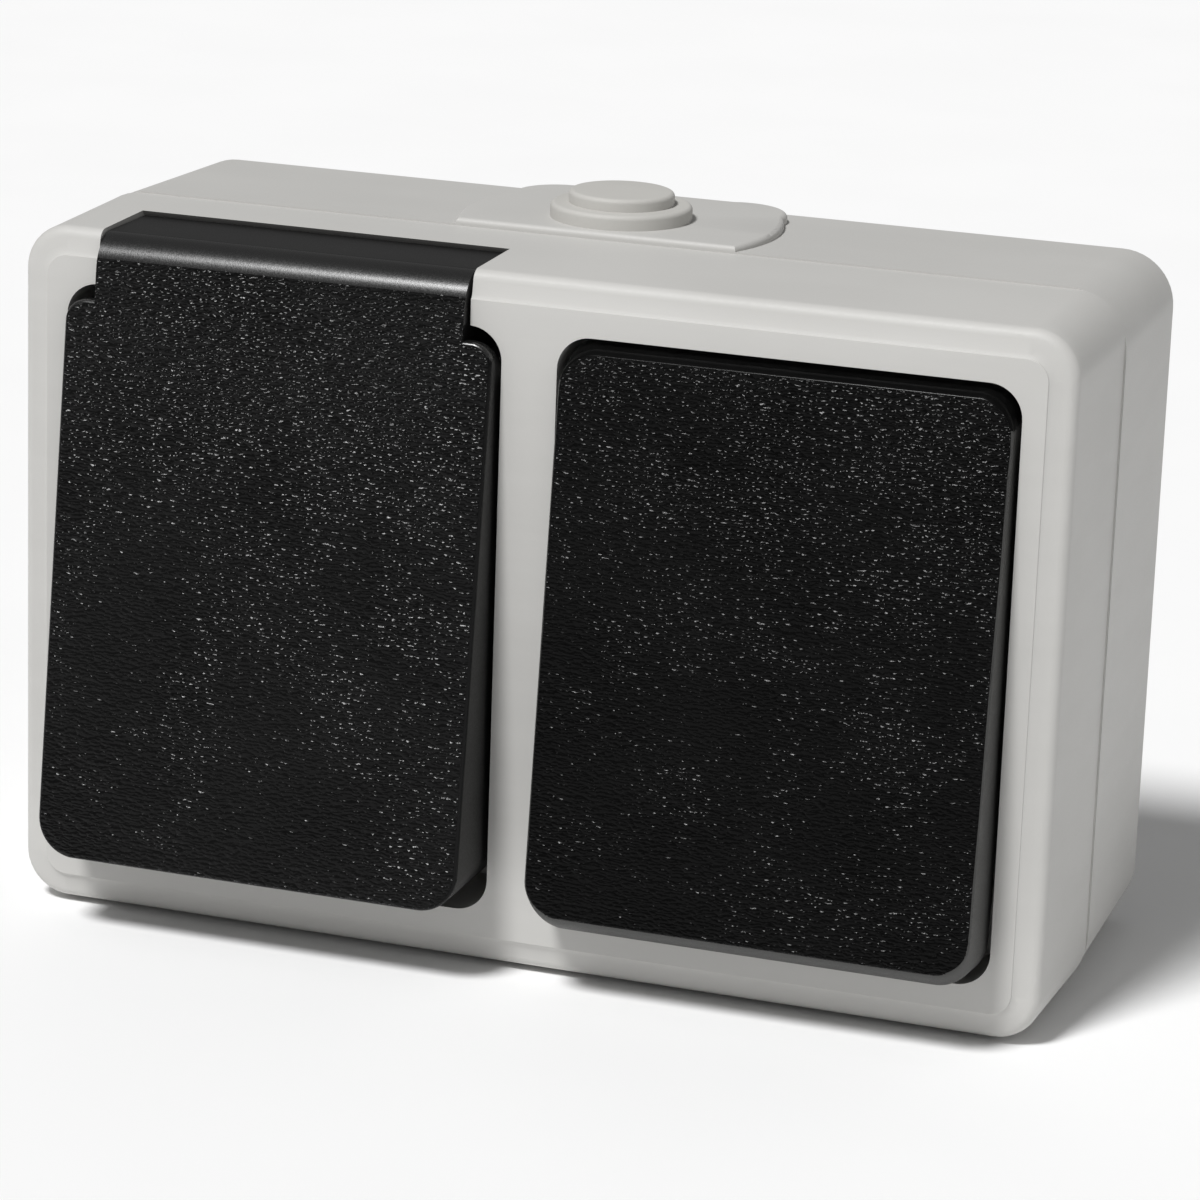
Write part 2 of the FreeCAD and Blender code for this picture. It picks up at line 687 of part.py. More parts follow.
def tab_profile(inset, x0, x1):
    """Hinge tab of the lid in side view: sloping face, rounded top edge, flat top and round barrel."""
    top = LID_TOP - inset
    round_r = LID_TOP_R - inset
    barrel = BARREL_R - inset
    low = APERTURE_H / 2 - LID_SHOULDER_GAP - TAB_FOOT
    slope = math.atan(LID_SLOPE)
    cz = top - round_r
    cy = at(lid_face_depth(cz, inset)) + round_r / math.cos(slope)
    touch = V(0, cy - round_r * math.cos(slope), cz + round_r * math.sin(slope))
    turn = (math.pi / 2 - slope) / 2 + slope
    middle = V(0, cy - round_r * math.cos(turn), cz + round_r * math.sin(turn))
    crown = V(0, cy, top)
    rise = top - HINGE_Z
    flat_end = V(0, HINGE_Y + math.sqrt(barrel ** 2 - rise ** 2), top)
    back = V(0, HINGE_Y + barrel, HINGE_Z)
    drop = V(0, HINGE_Y + barrel * math.cos(math.pi / 4), HINGE_Z - barrel * math.sin(math.pi / 4))
    low_back = V(0, HINGE_Y + barrel * math.sin(math.pi / 8), HINGE_Z - barrel * math.cos(math.pi / 8))
    heel = V(0, HINGE_Y, HINGE_Z - barrel)
    toe = V(0, at(LID_RIM) - inset, low)
    foot = V(0, at(lid_face_depth(low, inset)), low)
    edges = [
        Part.LineSegment(foot, touch).toShape(),
        Part.Arc(touch, middle, crown).toShape(),
        Part.LineSegment(crown, flat_end).toShape(),
        Part.Arc(flat_end, back, drop).toShape(),
        Part.Arc(drop, low_back, heel).toShape(),
        Part.LineSegment(heel, toe).toShape(),
        Part.LineSegment(toe, foot).toShape(),
    ]
    face = Part.Face(Part.Wire(edges))
    face.translate(V(x0, 0, 0))
    return face.extrude(V(x1 - x0, 0, 0))


def lid():
    half_w = APERTURE_W / 2 - LID_SIDE_GAP
    low = -(APERTURE_H / 2 - LID_BOTTOM_GAP)
    high = APERTURE_H / 2 - LID_SHOULDER_GAP
    mid = (low + high) / 2
    half_h = (high - low) / 2
    ahead = -LID_LOW_PROUD - OVER
    panel = plate(half_w, half_h, LID_SHOULDER_R, at(ahead), at(LID_RIM), -GANG_X, mid, LID_CORNER)
    panel = panel.common(lid_wedge(0, LID_RIM))
    front_edges = [edge for edge in panel.Edges if all(
        abs(v.Y - at(lid_face_depth(v.Z))) < NEAR for v in edge.Vertexes) and edge.BoundBox.ZMax < high - NEAR]
    panel = panel.makeFillet(LID_EDGE, front_edges)
    relief = rod_x(HINGE_Y, HINGE_Z, BARREL_R + LID_RELIEF, -GANG_X - APERTURE_W, -GANG_X + APERTURE_W)
    panel = panel.cut(relief)

    tab_0 = -GANG_X - SLOT_W / 2 + TAB_GAP
    tab_1 = -GANG_X + SLOT_W / 2 - TAB_GAP
    tab = tab_profile(0, tab_0, tab_1)
    body = panel.fuse(tab).removeSplitter()

    hollow = plate(half_w - LID_WALL, half_h - LID_WALL, LID_SHOULDER_R, at(ahead), at(LID_RIM) + OVER,
                   -GANG_X, mid, LID_CORNER - LID_WALL)
    hollow = hollow.common(lid_wedge(LID_WALL, LID_RIM + OVER))
    hollow = hollow.cut(relief)
    bay = tab_profile(TAB_WALL, tab_0 + LID_WALL, tab_1 - LID_WALL)
    bay = bay.fuse(block(tab_0 + LID_WALL, tab_1 - LID_WALL, at(LID_RIM - LID_WALL), HINGE_Y + BAY_BACK,
                         high - TAB_FOOT, HINGE_Z - BAY_TOP))
    body = body.cut([hollow, bay])

    knuckles = []
    for x0, x1 in ((tab_0, tab_0 + KNUCKLE_L), (tab_1 - KNUCKLE_L, tab_1)):
        rod = rod_x(HINGE_Y, HINGE_Z, KNUCKLE_R, x0, x1)
        web = block(x0, x1, at(lid_face_depth(HINGE_Z, TAB_WALL / 2)), HINGE_Y,
                    HINGE_Z - KNUCKLE_WEB_T / 2, HINGE_Z + KNUCKLE_WEB_T / 2)
        knuckles += [rod, web]
    leg_x, _ = spring_ends()
    leg_low = HINGE_Z - SPRING_COIL_R - SPRING_WIRE_R
    shelf_y = spring_leg_end() - SPRING_WIRE_R - TAB_WALL / 2
    knuckles.append(block(leg_x - SPRING_SHELF_W / 2, leg_x + SPRING_SHELF_W / 2,
                          shelf_y, shelf_y + SPRING_SHELF_L, leg_low - SPRING_SHELF_T, leg_low))
    rib_back = DISH_RIM - LID_SEAL_GAP - LID_SEAL_T
    rib = tube_y(-GANG_X, SOCKET_Z, LID_RIB_OUT, LID_RIB_IN, at(ahead), at(rib_back))
    rib = rib.common(lid_wedge(LID_WALL / 2, DISH_RIM))
    body = body.fuse(knuckles + [rib])
    return body.cut(rod_x(HINGE_Y, HINGE_Z, PIN_R + PIN_FIT, tab_0 - OVER, tab_1 + OVER)).removeSplitter()


def lid_seal():
    """Rubber ring on the lid's round rib, just off the rim of the dish when the lid is shut."""
    back = at(DISH_RIM - LID_SEAL_GAP)
    return tube_y(-GANG_X, SOCKET_Z, LID_SEAL_OUT, LID_SEAL_IN, back - LID_SEAL_T, back)


def socket_dish():
    front = at(DISH_RIM)
    floor = at(DISH_RIM + RECESS_DEPTH)
    back = at(DISH_BACK)
    seat = at(SOCKET_FLOOR)
    body = fuse_all([
        plate(DISH_W / 2, DISH_H / 2, DISH_CORNER, seat - DISH_T, seat, -GANG_X, SOCKET_Z),
        rod_y(-GANG_X, SOCKET_Z, DISH_COLLAR_R, front, seat - DISH_T / 2),
        rod_y(-GANG_X, SOCKET_Z, DISH_BARREL_R, seat - DISH_T, back),
    ])
    collar = edges_where(body, lambda b: b.YMax < front + NEAR)
    body = body.makeFillet(DISH_ROUND, collar)
    body = body.cut(rod_y(-GANG_X, SOCKET_Z, RECESS_R, front - OVER, floor))
    ribs = []
    for side in (-1, 1):
        x = -GANG_X + side * RECESS_R
        ribs.append(block(x - RIB_IN, x + RIB_IN, front + RIB_START, floor + MERGE,
                          SOCKET_Z - RIB_W / 2, SOCKET_Z + RIB_W / 2))
    limit = rod_y(-GANG_X, SOCKET_Z, RECESS_R + MERGE, front, floor + MERGE)
    body = body.fuse([rib.common(limit) for rib in ribs])
    cuts = [rod_y(-GANG_X, SOCKET_Z, SCREW_HOLE_R, floor - OVER, back + OVER)]
    cuts.append(Part.makeCone(SCREW_HEAD_R + SINK_GAP, SCREW_HOLE_R, SINK_DEPTH,
                              V(-GANG_X, floor, SOCKET_Z), V(0, 1, 0)))
    for side in (-1, 1):
        cuts.append(rod_y(-GANG_X + side * PIN_SPACING / 2, SOCKET_Z, PIN_HOLE_R, floor - OVER, back + OVER))
        near = SOCKET_Z + side * (RECESS_R - CLIP_SLOT_IN)
        far = SOCKET_Z + side * (DISH_BARREL_R + OVER)
        cuts.append(block(-GANG_X - CLIP_SLOT_W / 2, -GANG_X + CLIP_SLOT_W / 2,
                          front + CLIP_SLOT_TOP, back + OVER, min(near, far), max(near, far)))
    return body.cut(cuts).removeSplitter()


def dish_screw():
    """Countersunk screw in the middle of the recess."""
    floor = at(DISH_RIM + RECESS_DEPTH)
    head = Part.makeCone(SCREW_HEAD_R, SCREW_R, SINK_DEPTH, V(-GANG_X, floor, SOCKET_Z), V(0, 1, 0))
    shank = rod_y(-GANG_X, SOCKET_Z, SCREW_R, floor + SINK_DEPTH, floor + DISH_SCREW_L)
    slot = block(-GANG_X - SCREW_HEAD_R, -GANG_X + SCREW_HEAD_R, floor - OVER, floor + SINK_SLOT_DEPTH,
                 SOCKET_Z - SINK_SLOT / 2, SOCKET_Z + SINK_SLOT / 2)
    return head.fuse(shank).removeSplitter().cut(slot)


def ears(cx, cz, half, back_depth):
    """Two fixing lugs beside a mechanism, with their screw holes."""
    y0 = at(back_depth - EAR_T)
    y1 = at(back_depth)
    reach = half + EAR_OUT
    body = plate(reach, EAR_W / 2, EAR_W / 2 - EAR_FLAT, y0, y1, cx, cz)
    holes = [rod_y(cx + side, cz, SCREW_HOLE_R, y0, y1) for side in ear_screw_places(half)]
    return body.cut(holes)


def cage_places():
    """Terminal cages of the socket: live, neutral and earth, as (x, z) from the socket's centre."""
    return {"live": (-PIN_SPACING / 2, 0.0), "neutral": (PIN_SPACING / 2, 0.0),
            "earth": (0.0, -CARRIER_HALF + CAGE_H / 2 + CAGE_EDGE)}


def cage(x, z, y0):
    """Terminal cage with a wire hole across and a screw hole from behind."""
    body = block(x - CAGE_W / 2, x + CAGE_W / 2, y0, y0 + CAGE_L, z - CAGE_H / 2, z + CAGE_H / 2)
    wire = Part.makeCylinder(WIRE_R, CAGE_H, V(x, y0 + CAGE_WIRE_BACK, z - CAGE_H / 2), V(0, 0, 1))
    thread = rod_y(x, z, TERMINAL_THREAD_R, y0 + CAGE_WIRE_BACK, y0 + CAGE_L)
    return body.cut([wire, thread])


def terminal_screws(places, y0):
    """Wire clamping screws in the back of a row of cages."""
    group = []
    head_y = y0 + CAGE_L + TERMINAL_LIFT
    for x, z in places:
        part = screw(x, z, 0.0, head_y - y0 - CAGE_WIRE_BACK - WIRE_R, TERMINAL_HEAD_R, TERMINAL_R,
                     TERMINAL_HEAD_T, TERMINAL_SLOT)
        part.rotate(V(x, 0, z), V(0, 0, 1), 180)
        part.translate(V(0, head_y, 0))
        group.append(part)
    return Part.makeCompound(group)


def carrier_cage_y():
    return at(DISH_BACK + CARRIER_T - CAGE_SINK)


def socket_carrier():
    front = at(DISH_BACK)
    back = at(DISH_BACK + CARRIER_T)
    body = plate(CARRIER_HALF, CARRIER_HALF, CARRIER_CORNER, front, back, -GANG_X, SOCKET_Z)
    body = body.fuse(ears(-GANG_X, SOCKET_Z, CARRIER_HALF, EAR_BACK_DEPTH))
    cuts = [block(-GANG_X - CLIP_W / 2 - FIT, -GANG_X + CLIP_W / 2 + FIT, front - OVER, front + CLIP_T + FIT,
                  SOCKET_Z - CARRIER_HALF - OVER, SOCKET_Z + CARRIER_HALF + OVER)]
    cuts.append(rod_y(-GANG_X, SOCKET_Z, THREAD_R, front, front + CARRIER_SCREW_HOLE))
    cage_y = carrier_cage_y()
    for name, (dx, dz) in cage_places().items():
        x = -GANG_X + dx
        z = SOCKET_Z + dz
        cuts.append(block(x - CAGE_W / 2 - FIT, x + CAGE_W / 2 + FIT, cage_y - FIT, back + OVER,
                          z - CAGE_H / 2 - FIT, z + CAGE_H / 2 + FIT))
        if name == "earth":
            cuts.append(block(x - CLIP_W / 2 - FIT, x + CLIP_W / 2 + FIT, front, cage_y,
                              z - CLIP_T / 2 - FIT, z + CLIP_T / 2 + FIT))
        else:
            cuts.append(rod_y(x, z, SLEEVE_OUT + FIT, front - OVER, cage_y))
    return body.cut(cuts).removeSplitter()


def pin_contact(name):
    """Split brass sleeve for one plug pin, with its terminal cage behind."""
    dx, dz = cage_places()[name]
    x = -GANG_X + dx
    z = SOCKET_Z + dz
    cage_y = carrier_cage_y()
    start = at(DISH_BACK) + FIT
    sleeve = rod_y(x, z, SLEEVE_OUT, start, cage_y)
    bore_end = start + SLEEVE_L
    sleeve = sleeve.cut([
        rod_y(x, z, SLEEVE_IN, start - OVER, bore_end),
        block(x - SLEEVE_SLIT / 2, x + SLEEVE_SLIT / 2, start - OVER, bore_end - SLEEVE_ROOT,
              z - SLEEVE_OUT, z + SLEEVE_OUT),
    ])
    return fuse_all([sleeve, cage(x, z, cage_y)])


def earth_clip():
    """Bent earthing yoke: strip behind the dish, two spring arms in the recess and a terminal tongue."""
    front = at(DISH_BACK) + FIT / 2
    reach = CARRIER_HALF + FIT
    rim = at(DISH_RIM)
    x0 = -GANG_X - CLIP_W / 2
    x1 = -GANG_X + CLIP_W / 2
    parts = [block(x0, x1, front, front + CLIP_T, SOCKET_Z - reach - CLIP_T, SOCKET_Z + reach + CLIP_T)]
    tip = rim + CLIP_SLOT_TOP + CLIP_TIP_BACK
    hook = tip + CLIP_NOSE_RUN
    arm = hook + CLIP_ARM_RUN
    for side in (-1, 1):
        outer = SOCKET_Z + side * (reach + CLIP_T)
        inner = SOCKET_Z + side * reach
        nose = SOCKET_Z + side * (reach - CLIP_HOOK)
        nose_out = SOCKET_Z + side * (reach - CLIP_HOOK + CLIP_T)
        end = SOCKET_Z + side * (reach - CLIP_HOOK + CLIP_TIP_OUT)
        end_out = SOCKET_Z + side * (reach - CLIP_HOOK + CLIP_TIP_OUT + CLIP_T)
        points = [
            (front + CLIP_T, outer), (front + CLIP_T, inner), (arm, inner), (hook, nose), (tip, end),
            (tip, end_out), (hook, nose_out), (arm, outer),
        ]
        parts.append(profile_x(points, x0, x1))
    dx, dz = cage_places()["earth"]
    z = SOCKET_Z + dz
    cage_y = carrier_cage_y()
    parts.append(block(x0, x1, front, cage_y + MERGE, z - CLIP_T / 2, z + CLIP_T / 2))
    parts.append(cage(-GANG_X + dx, z, cage_y))
    body = fuse_all(parts)
    return body.cut(rod_y(-GANG_X, SOCKET_Z, SCREW_HOLE_R, front - OVER, front + CLIP_T + OVER))


def socket_terminal_screws():
    places = [(-GANG_X + dx, SOCKET_Z + dz) for dx, dz in cage_places().values()]
    return terminal_screws(places, carrier_cage_y())


def ear_screws(cx, cz, half, back_depth):
    group = []
    for side in ear_screw_places(half):
        group.append(screw(cx + side, cz, at(back_depth - EAR_T), MECH_SCREW_L))
    return Part.makeCompound(group)


def carrier_screws():
    return ear_screws(-GANG_X, SOCKET_Z, CARRIER_HALF, EAR_BACK_DEPTH)


def switch_screws():
    return ear_screws(GANG_X, 0.0, BODY_HALF_X, BODY_EAR_DEPTH)


def to_rest(shape):
    """Turn a rocker part from the level position to rest, with the top end pressed in."""
    return turned(shape, PIVOT_Y, 0, -ROCKER_TILT)


def rocker_outline(inset, depth, set_back):
    half_w = APERTURE_W / 2 - ROCKER_SIDE_GAP - inset
    half_h = ROCKER_HALF_H - set_back - inset
    return rounded_wire(half_w, half_h, ROCKER_CORNER - inset, at(depth - ROCKER_PROUD), GANG_X)


def end_curve():
    """Depth and set-back of the rounded ends, from the face to where the skirt runs straight."""
    reach = math.sqrt(ROCKER_END_R ** 2 - (ROCKER_END_R - ROCKER_SET_BACK) ** 2)
    steps = []
    for k in range(SKIRT_STEPS + 1):
        depth = reach * k / SKIRT_STEPS
        back = ROCKER_END_R - math.sqrt(ROCKER_END_R ** 2 - (reach - depth) ** 2)
        steps.append((depth, back))
    return steps


def rocker():
    steps = end_curve()
    crown = Part.makeLoft([rocker_outline(0, d, s) for d, s in steps], True, False)
    depth_0 = steps[-1][0]
    skirt = frustum(rocker_outline(0, depth_0, 0), rocker_outline(0, ROCKER_DEPTH, 0))
    body = crown.fuse(skirt)
    face_y = at(-ROCKER_PROUD)
    rim = edges_where(body, lambda b: b.YMax < face_y + NEAR)
    body = body.makeFillet(ROCKER_EDGE, rim)
    hollow = frustum(rocker_outline(ROCKER_WALL, ROCKER_FACE_T, ROCKER_SET_BACK / 2),
                     rocker_outline(ROCKER_WALL, ROCKER_DEPTH + OVER, 0))
    body = body.cut(hollow)
    inner = face_y + ROCKER_FACE_T
    grip = CLIP_RIB_GAP + CLIP_RIB_T / 2
    half_t = CLIP_RIB_T / 2
    half_w = CRADLE_W / 2 - CLIP_RIB_SHORT
    ribs = []
    for side in (-1, 1):
        x = GANG_X + side * (CRADLE_W / 2 + grip)
        z = side * (CRADLE_H / 2 + grip)
        ribs.append(block(x - half_t, x + half_t, inner - MERGE, inner + CRADLE_T,
                          -CRADLE_H / 2, CRADLE_H / 2))
        ribs.append(block(GANG_X - half_w, GANG_X + half_w, inner - MERGE, inner + CRADLE_T,
                          z - half_t, z + half_t))
    return to_rest(body.fuse(ribs).removeSplitter())


def rocker_cradle():
    """Lever under the button: plate, two arms with trunnions and the tube for the plunger."""
    top = at(-ROCKER_PROUD + ROCKER_FACE_T)
    under = top + CRADLE_T
    parts = [block(GANG_X - CRADLE_W / 2, GANG_X + CRADLE_W / 2, top, under, -CRADLE_H / 2, CRADLE_H / 2)]
    for side in (-1, 1):
        x_in = GANG_X + side * (CRADLE_W / 2 - CHEEK_ARM_T)
        x_out = GANG_X + side * CRADLE_W / 2
        x_end = GANG_X + side * (POST_OUT + TRUNNION_PAST)
        x0, x1 = min(x_in, x_out), max(x_in, x_out)
        parts.append(block(x0, x1, under - MERGE, PIVOT_Y, -CHEEK_ARM_R, CHEEK_ARM_R))
        parts.append(rod_x(PIVOT_Y, 0, CHEEK_ARM_R, x0, x1))
        parts.append(rod_x(PIVOT_Y, 0, TRUNNION_R, min(x_in, x_end), max(x_in, x_end)))
    parts.append(rod_y(GANG_X, 0, STEM_R, under - MERGE, PIVOT_Y + STEM_L))
    body = fuse_all(parts)
    return to_rest(body.cut(rod_y(GANG_X, 0, STEM_BORE_R, under, PIVOT_Y + STEM_L + OVER)))


def plunger():
    start = PIVOT_Y + PLUNGER_BACK
    end = PIVOT_Y + PLUNGER_REACH
    body = rod_y(GANG_X, 0, PLUNGER_R, start, end - PLUNGER_R)
    tip = Part.makeSphere(PLUNGER_R, V(GANG_X, end - PLUNGER_R, 0))
    body = body.fuse(tip).removeSplitter()
    return to_rest(body.cut(rod_y(GANG_X, 0, PLUNGER_BORE_R, start - OVER, start + PLUNGER_BORE)))


def plunger_spring():
    """Small compression spring between the bottom of the cradle's tube and the plunger."""
    start = at(-ROCKER_PROUD + ROCKER_FACE_T) + CRADLE_T + COIL_WIRE_R
    end = PIVOT_Y + PLUNGER_BACK - COIL_WIRE_R
    coil = helix_tube(COIL_R, COIL_WIRE_R, (end - start) / COIL_TURNS, COIL_TURNS)
    coil.rotate(V(0, 0, 0), V(1, 0, 0), -90)
    coil.translate(V(GANG_X, start, 0))
    return to_rest(coil)


def switch_seal():
    y0 = at(SEAL_FRONT)
    y1 = at(FLANGE_FRONT)
    outer = plate(FLANGE_W / 2 - SEAL_IN, FLANGE_H / 2 - SEAL_IN, SEAL_CORNER, y0, y1, GANG_X)
    inner = plate(FLANGE_W / 2 - SEAL_IN - SEAL_RIM_W, FLANGE_H / 2 - SEAL_IN - SEAL_RIM_H, SWITCH_OPEN_R,
                  y0, y1, GANG_X)
    return outer.cut(inner)


def contact_z(side):
    return side * CONTACT_Z


def body_cage_y():
    return at(BODY_BACK - CAGE_SINK)


def switch_body():
    flange = at(FLANGE_FRONT)
    back = at(BODY_BACK)
    parts = [
        plate(FLANGE_W / 2, FLANGE_H / 2, BODY_CORNER, flange, flange + FLANGE_T, GANG_X),
        plate(BODY_HALF_X, BODY_HALF_Z, BODY_CORNER, flange + FLANGE_T / 2, back, GANG_X),
        ears(GANG_X, 0.0, BODY_HALF_X, BODY_EAR_DEPTH),
    ]
    for side in (-1, 1):
        near = GANG_X + side * (CRADLE_W / 2 + ARM_GAP)
        far = near + side * POST_T
        x0, x1 = min(near, far), max(near, far)
        parts.append(block(x0, x1, PIVOT_Y, flange + FLANGE_T, -POST_R, POST_R))
        parts.append(rod_x(PIVOT_Y, 0, POST_R, x0, x1))
    body = fuse_all(parts)
    cage_y = body_cage_y()
    cuts = [
        block(GANG_X - CHAMBER_X / 2, GANG_X + CHAMBER_X / 2, flange - OVER, at(CHAMBER_FLOOR),
              -CHAMBER_Z / 2, CHAMBER_Z / 2),
        rod_x(PIVOT_Y, 0, TRUNNION_R + TRUNNION_FIT, GANG_X - SWITCH_OPEN_W / 2, GANG_X + SWITCH_OPEN_W / 2),
    ]
    for z in (contact_z(1), 0.0, contact_z(-1)):
        cuts.append(block(GANG_X - CAGE_W / 2 - FIT, GANG_X + CAGE_W / 2 + FIT, cage_y - FIT, back + OVER,
                          z - CAGE_H / 2 - FIT, z + CAGE_H / 2 + FIT))
        cuts.append(block(GANG_X - CONTACT_W / 2 - FIT, GANG_X + CONTACT_W / 2 + FIT,
                          at(CHAMBER_FLOOR) - OVER, cage_y, z - CONTACT_T / 2 - FIT, z + CONTACT_T / 2 + FIT))
    return body.cut(cuts).removeSplitter()


def pad_depth():
    """Depth at which a fixed contact just clears the pressed end of the bridge."""
    angle = math.radians(BRIDGE_TILT)
    back = (BRIDGE_T / 2 + RIVET_T) * math.cos(angle)
    return BRIDGE_DEPTH + back + (RIVET_Z + RIVET_R) * math.sin(angle) + CONTACT_GAP


def side_contact(side):
    """Fixed contact at the upper or lower end of the bridge: pad, stem and cage."""
    x0 = GANG_X - CONTACT_W / 2
    x1 = GANG_X + CONTACT_W / 2
    front = at(pad_depth())
    stem = contact_z(side)
    pad_in = side * (RIVET_Z - CONTACT_PAD / 2)
    pad_out = stem + side * CONTACT_T / 2
    cage_y = body_cage_y()
    return fuse_all([
        block(x0, x1, front, front + CONTACT_T, min(pad_in, pad_out), max(pad_in, pad_out)),
        block(x0, x1, front, cage_y + MERGE, stem - CONTACT_T / 2, stem + CONTACT_T / 2),
        cage(GANG_X, stem, cage_y),
    ])


def upper_contact():
    return side_contact(1)


def lower_contact():
    return side_contact(-1)


def common_contact():
    """Fixed contact that carries the middle of the bridge."""
    x0 = GANG_X - CONTACT_W / 2
    x1 = GANG_X + CONTACT_W / 2
    front = BRIDGE_Y + BRIDGE_KNUCKLE_R + FIT
    cage_y = body_cage_y()
    return fuse_all([
        block(x0, x1, front, front + CONTACT_T, -SEAT_H / 2, SEAT_H / 2),
        block(x0, x1, front, cage_y + MERGE, -CONTACT_T / 2, CONTACT_T / 2),
        cage(GANG_X, 0.0, cage_y),
    ])


def contact_bridge():
    """Tilting moving contact with a round middle and a rivet at each end; its lower end rests closed."""
    parts = [
        block(GANG_X - BRIDGE_W / 2, GANG_X + BRIDGE_W / 2, BRIDGE_Y - BRIDGE_T / 2, BRIDGE_Y + BRIDGE_T / 2,
              -BRIDGE_L / 2, BRIDGE_L / 2),
        rod_x(BRIDGE_Y, 0, BRIDGE_KNUCKLE_R, GANG_X - BRIDGE_W / 2 - BRIDGE_KNUCKLE_PAST,
              GANG_X + BRIDGE_W / 2 + BRIDGE_KNUCKLE_PAST),
    ]
    for side in (-1, 1):
        parts.append(rod_y(GANG_X, side * RIVET_Z, RIVET_R, BRIDGE_Y, BRIDGE_Y + BRIDGE_T / 2 + RIVET_T))
    return turned(fuse_all(parts), BRIDGE_Y, 0, BRIDGE_TILT)


def switch_terminal_screws():
    places = [(GANG_X, contact_z(1)), (GANG_X, 0.0), (GANG_X, contact_z(-1))]
    return terminal_screws(places, body_cage_y())


def live_contact():
    return pin_contact("live")


def neutral_contact():
    return pin_contact("neutral")


NODES = (
    rear_box, front_cover, cover_gasket, cover_screws, cable_grommet,
    hinge_pin, lid_spring, lid, lid_seal,
    socket_dish, dish_screw, socket_carrier, carrier_screws, live_contact, neutral_contact, earth_clip,
    socket_terminal_screws,
    rocker, rocker_cradle, plunger, plunger_spring,
    switch_body, switch_seal, switch_screws, contact_bridge, common_contact, upper_contact, lower_contact,
    switch_terminal_screws,
)


def main():
    os.makedirs("parts", exist_ok=True)
    for make in NODES:
        shape = make()
        shape.exportStep("parts/" + make.__name__ + ".step")


main()
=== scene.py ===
"""Finishes, moulded details, light and camera for an outdoor socket and switch unit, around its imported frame.

Everything is in metres in the part's own frame: X to the right, Z up, Y into the wall.
"""
import json
import logging
import math
from collections.abc import Callable
from dataclasses import dataclass, field
from enum import Enum

import bpy
import bmesh
from mathutils import Matrix, Vector


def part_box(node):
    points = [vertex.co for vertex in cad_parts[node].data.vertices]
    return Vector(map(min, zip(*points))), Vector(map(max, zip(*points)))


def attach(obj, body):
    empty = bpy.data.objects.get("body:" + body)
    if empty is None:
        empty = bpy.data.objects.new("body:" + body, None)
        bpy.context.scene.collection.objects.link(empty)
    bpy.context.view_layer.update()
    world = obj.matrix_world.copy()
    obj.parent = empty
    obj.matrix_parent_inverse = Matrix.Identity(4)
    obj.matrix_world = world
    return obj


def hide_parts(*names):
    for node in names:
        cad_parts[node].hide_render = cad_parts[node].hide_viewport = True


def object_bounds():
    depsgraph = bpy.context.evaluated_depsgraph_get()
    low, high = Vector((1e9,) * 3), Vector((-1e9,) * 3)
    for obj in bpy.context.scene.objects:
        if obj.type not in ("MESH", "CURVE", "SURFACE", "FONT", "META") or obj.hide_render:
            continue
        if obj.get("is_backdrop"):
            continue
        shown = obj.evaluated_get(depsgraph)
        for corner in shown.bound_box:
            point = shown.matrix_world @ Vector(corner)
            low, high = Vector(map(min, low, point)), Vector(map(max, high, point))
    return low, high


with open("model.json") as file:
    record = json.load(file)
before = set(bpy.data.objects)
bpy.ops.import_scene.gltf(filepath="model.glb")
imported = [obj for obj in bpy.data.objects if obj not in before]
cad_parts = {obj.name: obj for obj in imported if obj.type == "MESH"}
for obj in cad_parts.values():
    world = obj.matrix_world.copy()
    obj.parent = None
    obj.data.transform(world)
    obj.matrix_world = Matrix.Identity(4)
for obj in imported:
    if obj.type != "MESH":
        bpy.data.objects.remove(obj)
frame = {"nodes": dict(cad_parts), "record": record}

log = logging.getLogger("socket_unit")

MM = 0.001
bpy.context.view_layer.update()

Triple = tuple[float, float, float]
Span = tuple[float, float]
Socket = bpy.types.NodeSocket

# Nearly all values of a soft noise lie in this range
NOISE_SPAN: Span = (0.3, 0.7)
FULL_SPAN: Span = (0.0, 1.0)


class Slot(Enum):
    """Material slots of the record."""

    HOUSING = "housing_plastic"
    DARK = "dark_plastic"
    DISH = "dish_plastic"
    INSULATOR = "insulator"
    ENTRY = "entry_rubber"
    SEAL = "seal_rubber"
    STEEL = "steel"
    BRASS = "brass"


class Dark(Enum):
    """Nearly black finishes besides the lid's pebbled front, and a lighter grey copy of the black plastic that
    paints a sheen on the rocker's skirt.
    """

    CROWN = "dark_plastic_crown"
    SIDE = "dark_plastic_side"
    ROCKER = "dark_plastic_rocker"
    # Lighter grey copy of the black plastic: painted sheen of reflected light on the rocker's skirt
    SKIRT_PAINTED_SHEEN = "dark_plastic_skirt_painted_sheen"


class Body(Enum):
    """Rigid bodies of the frame that carry a piece made here."""

    HOUSING = "housing"
    LID = "lid"
    ROCKER = "rocker"


class Axis(Enum):
    """Axes of the part's frame, by their place in a vector."""

    X = 0
    Y = 1
    Z = 2


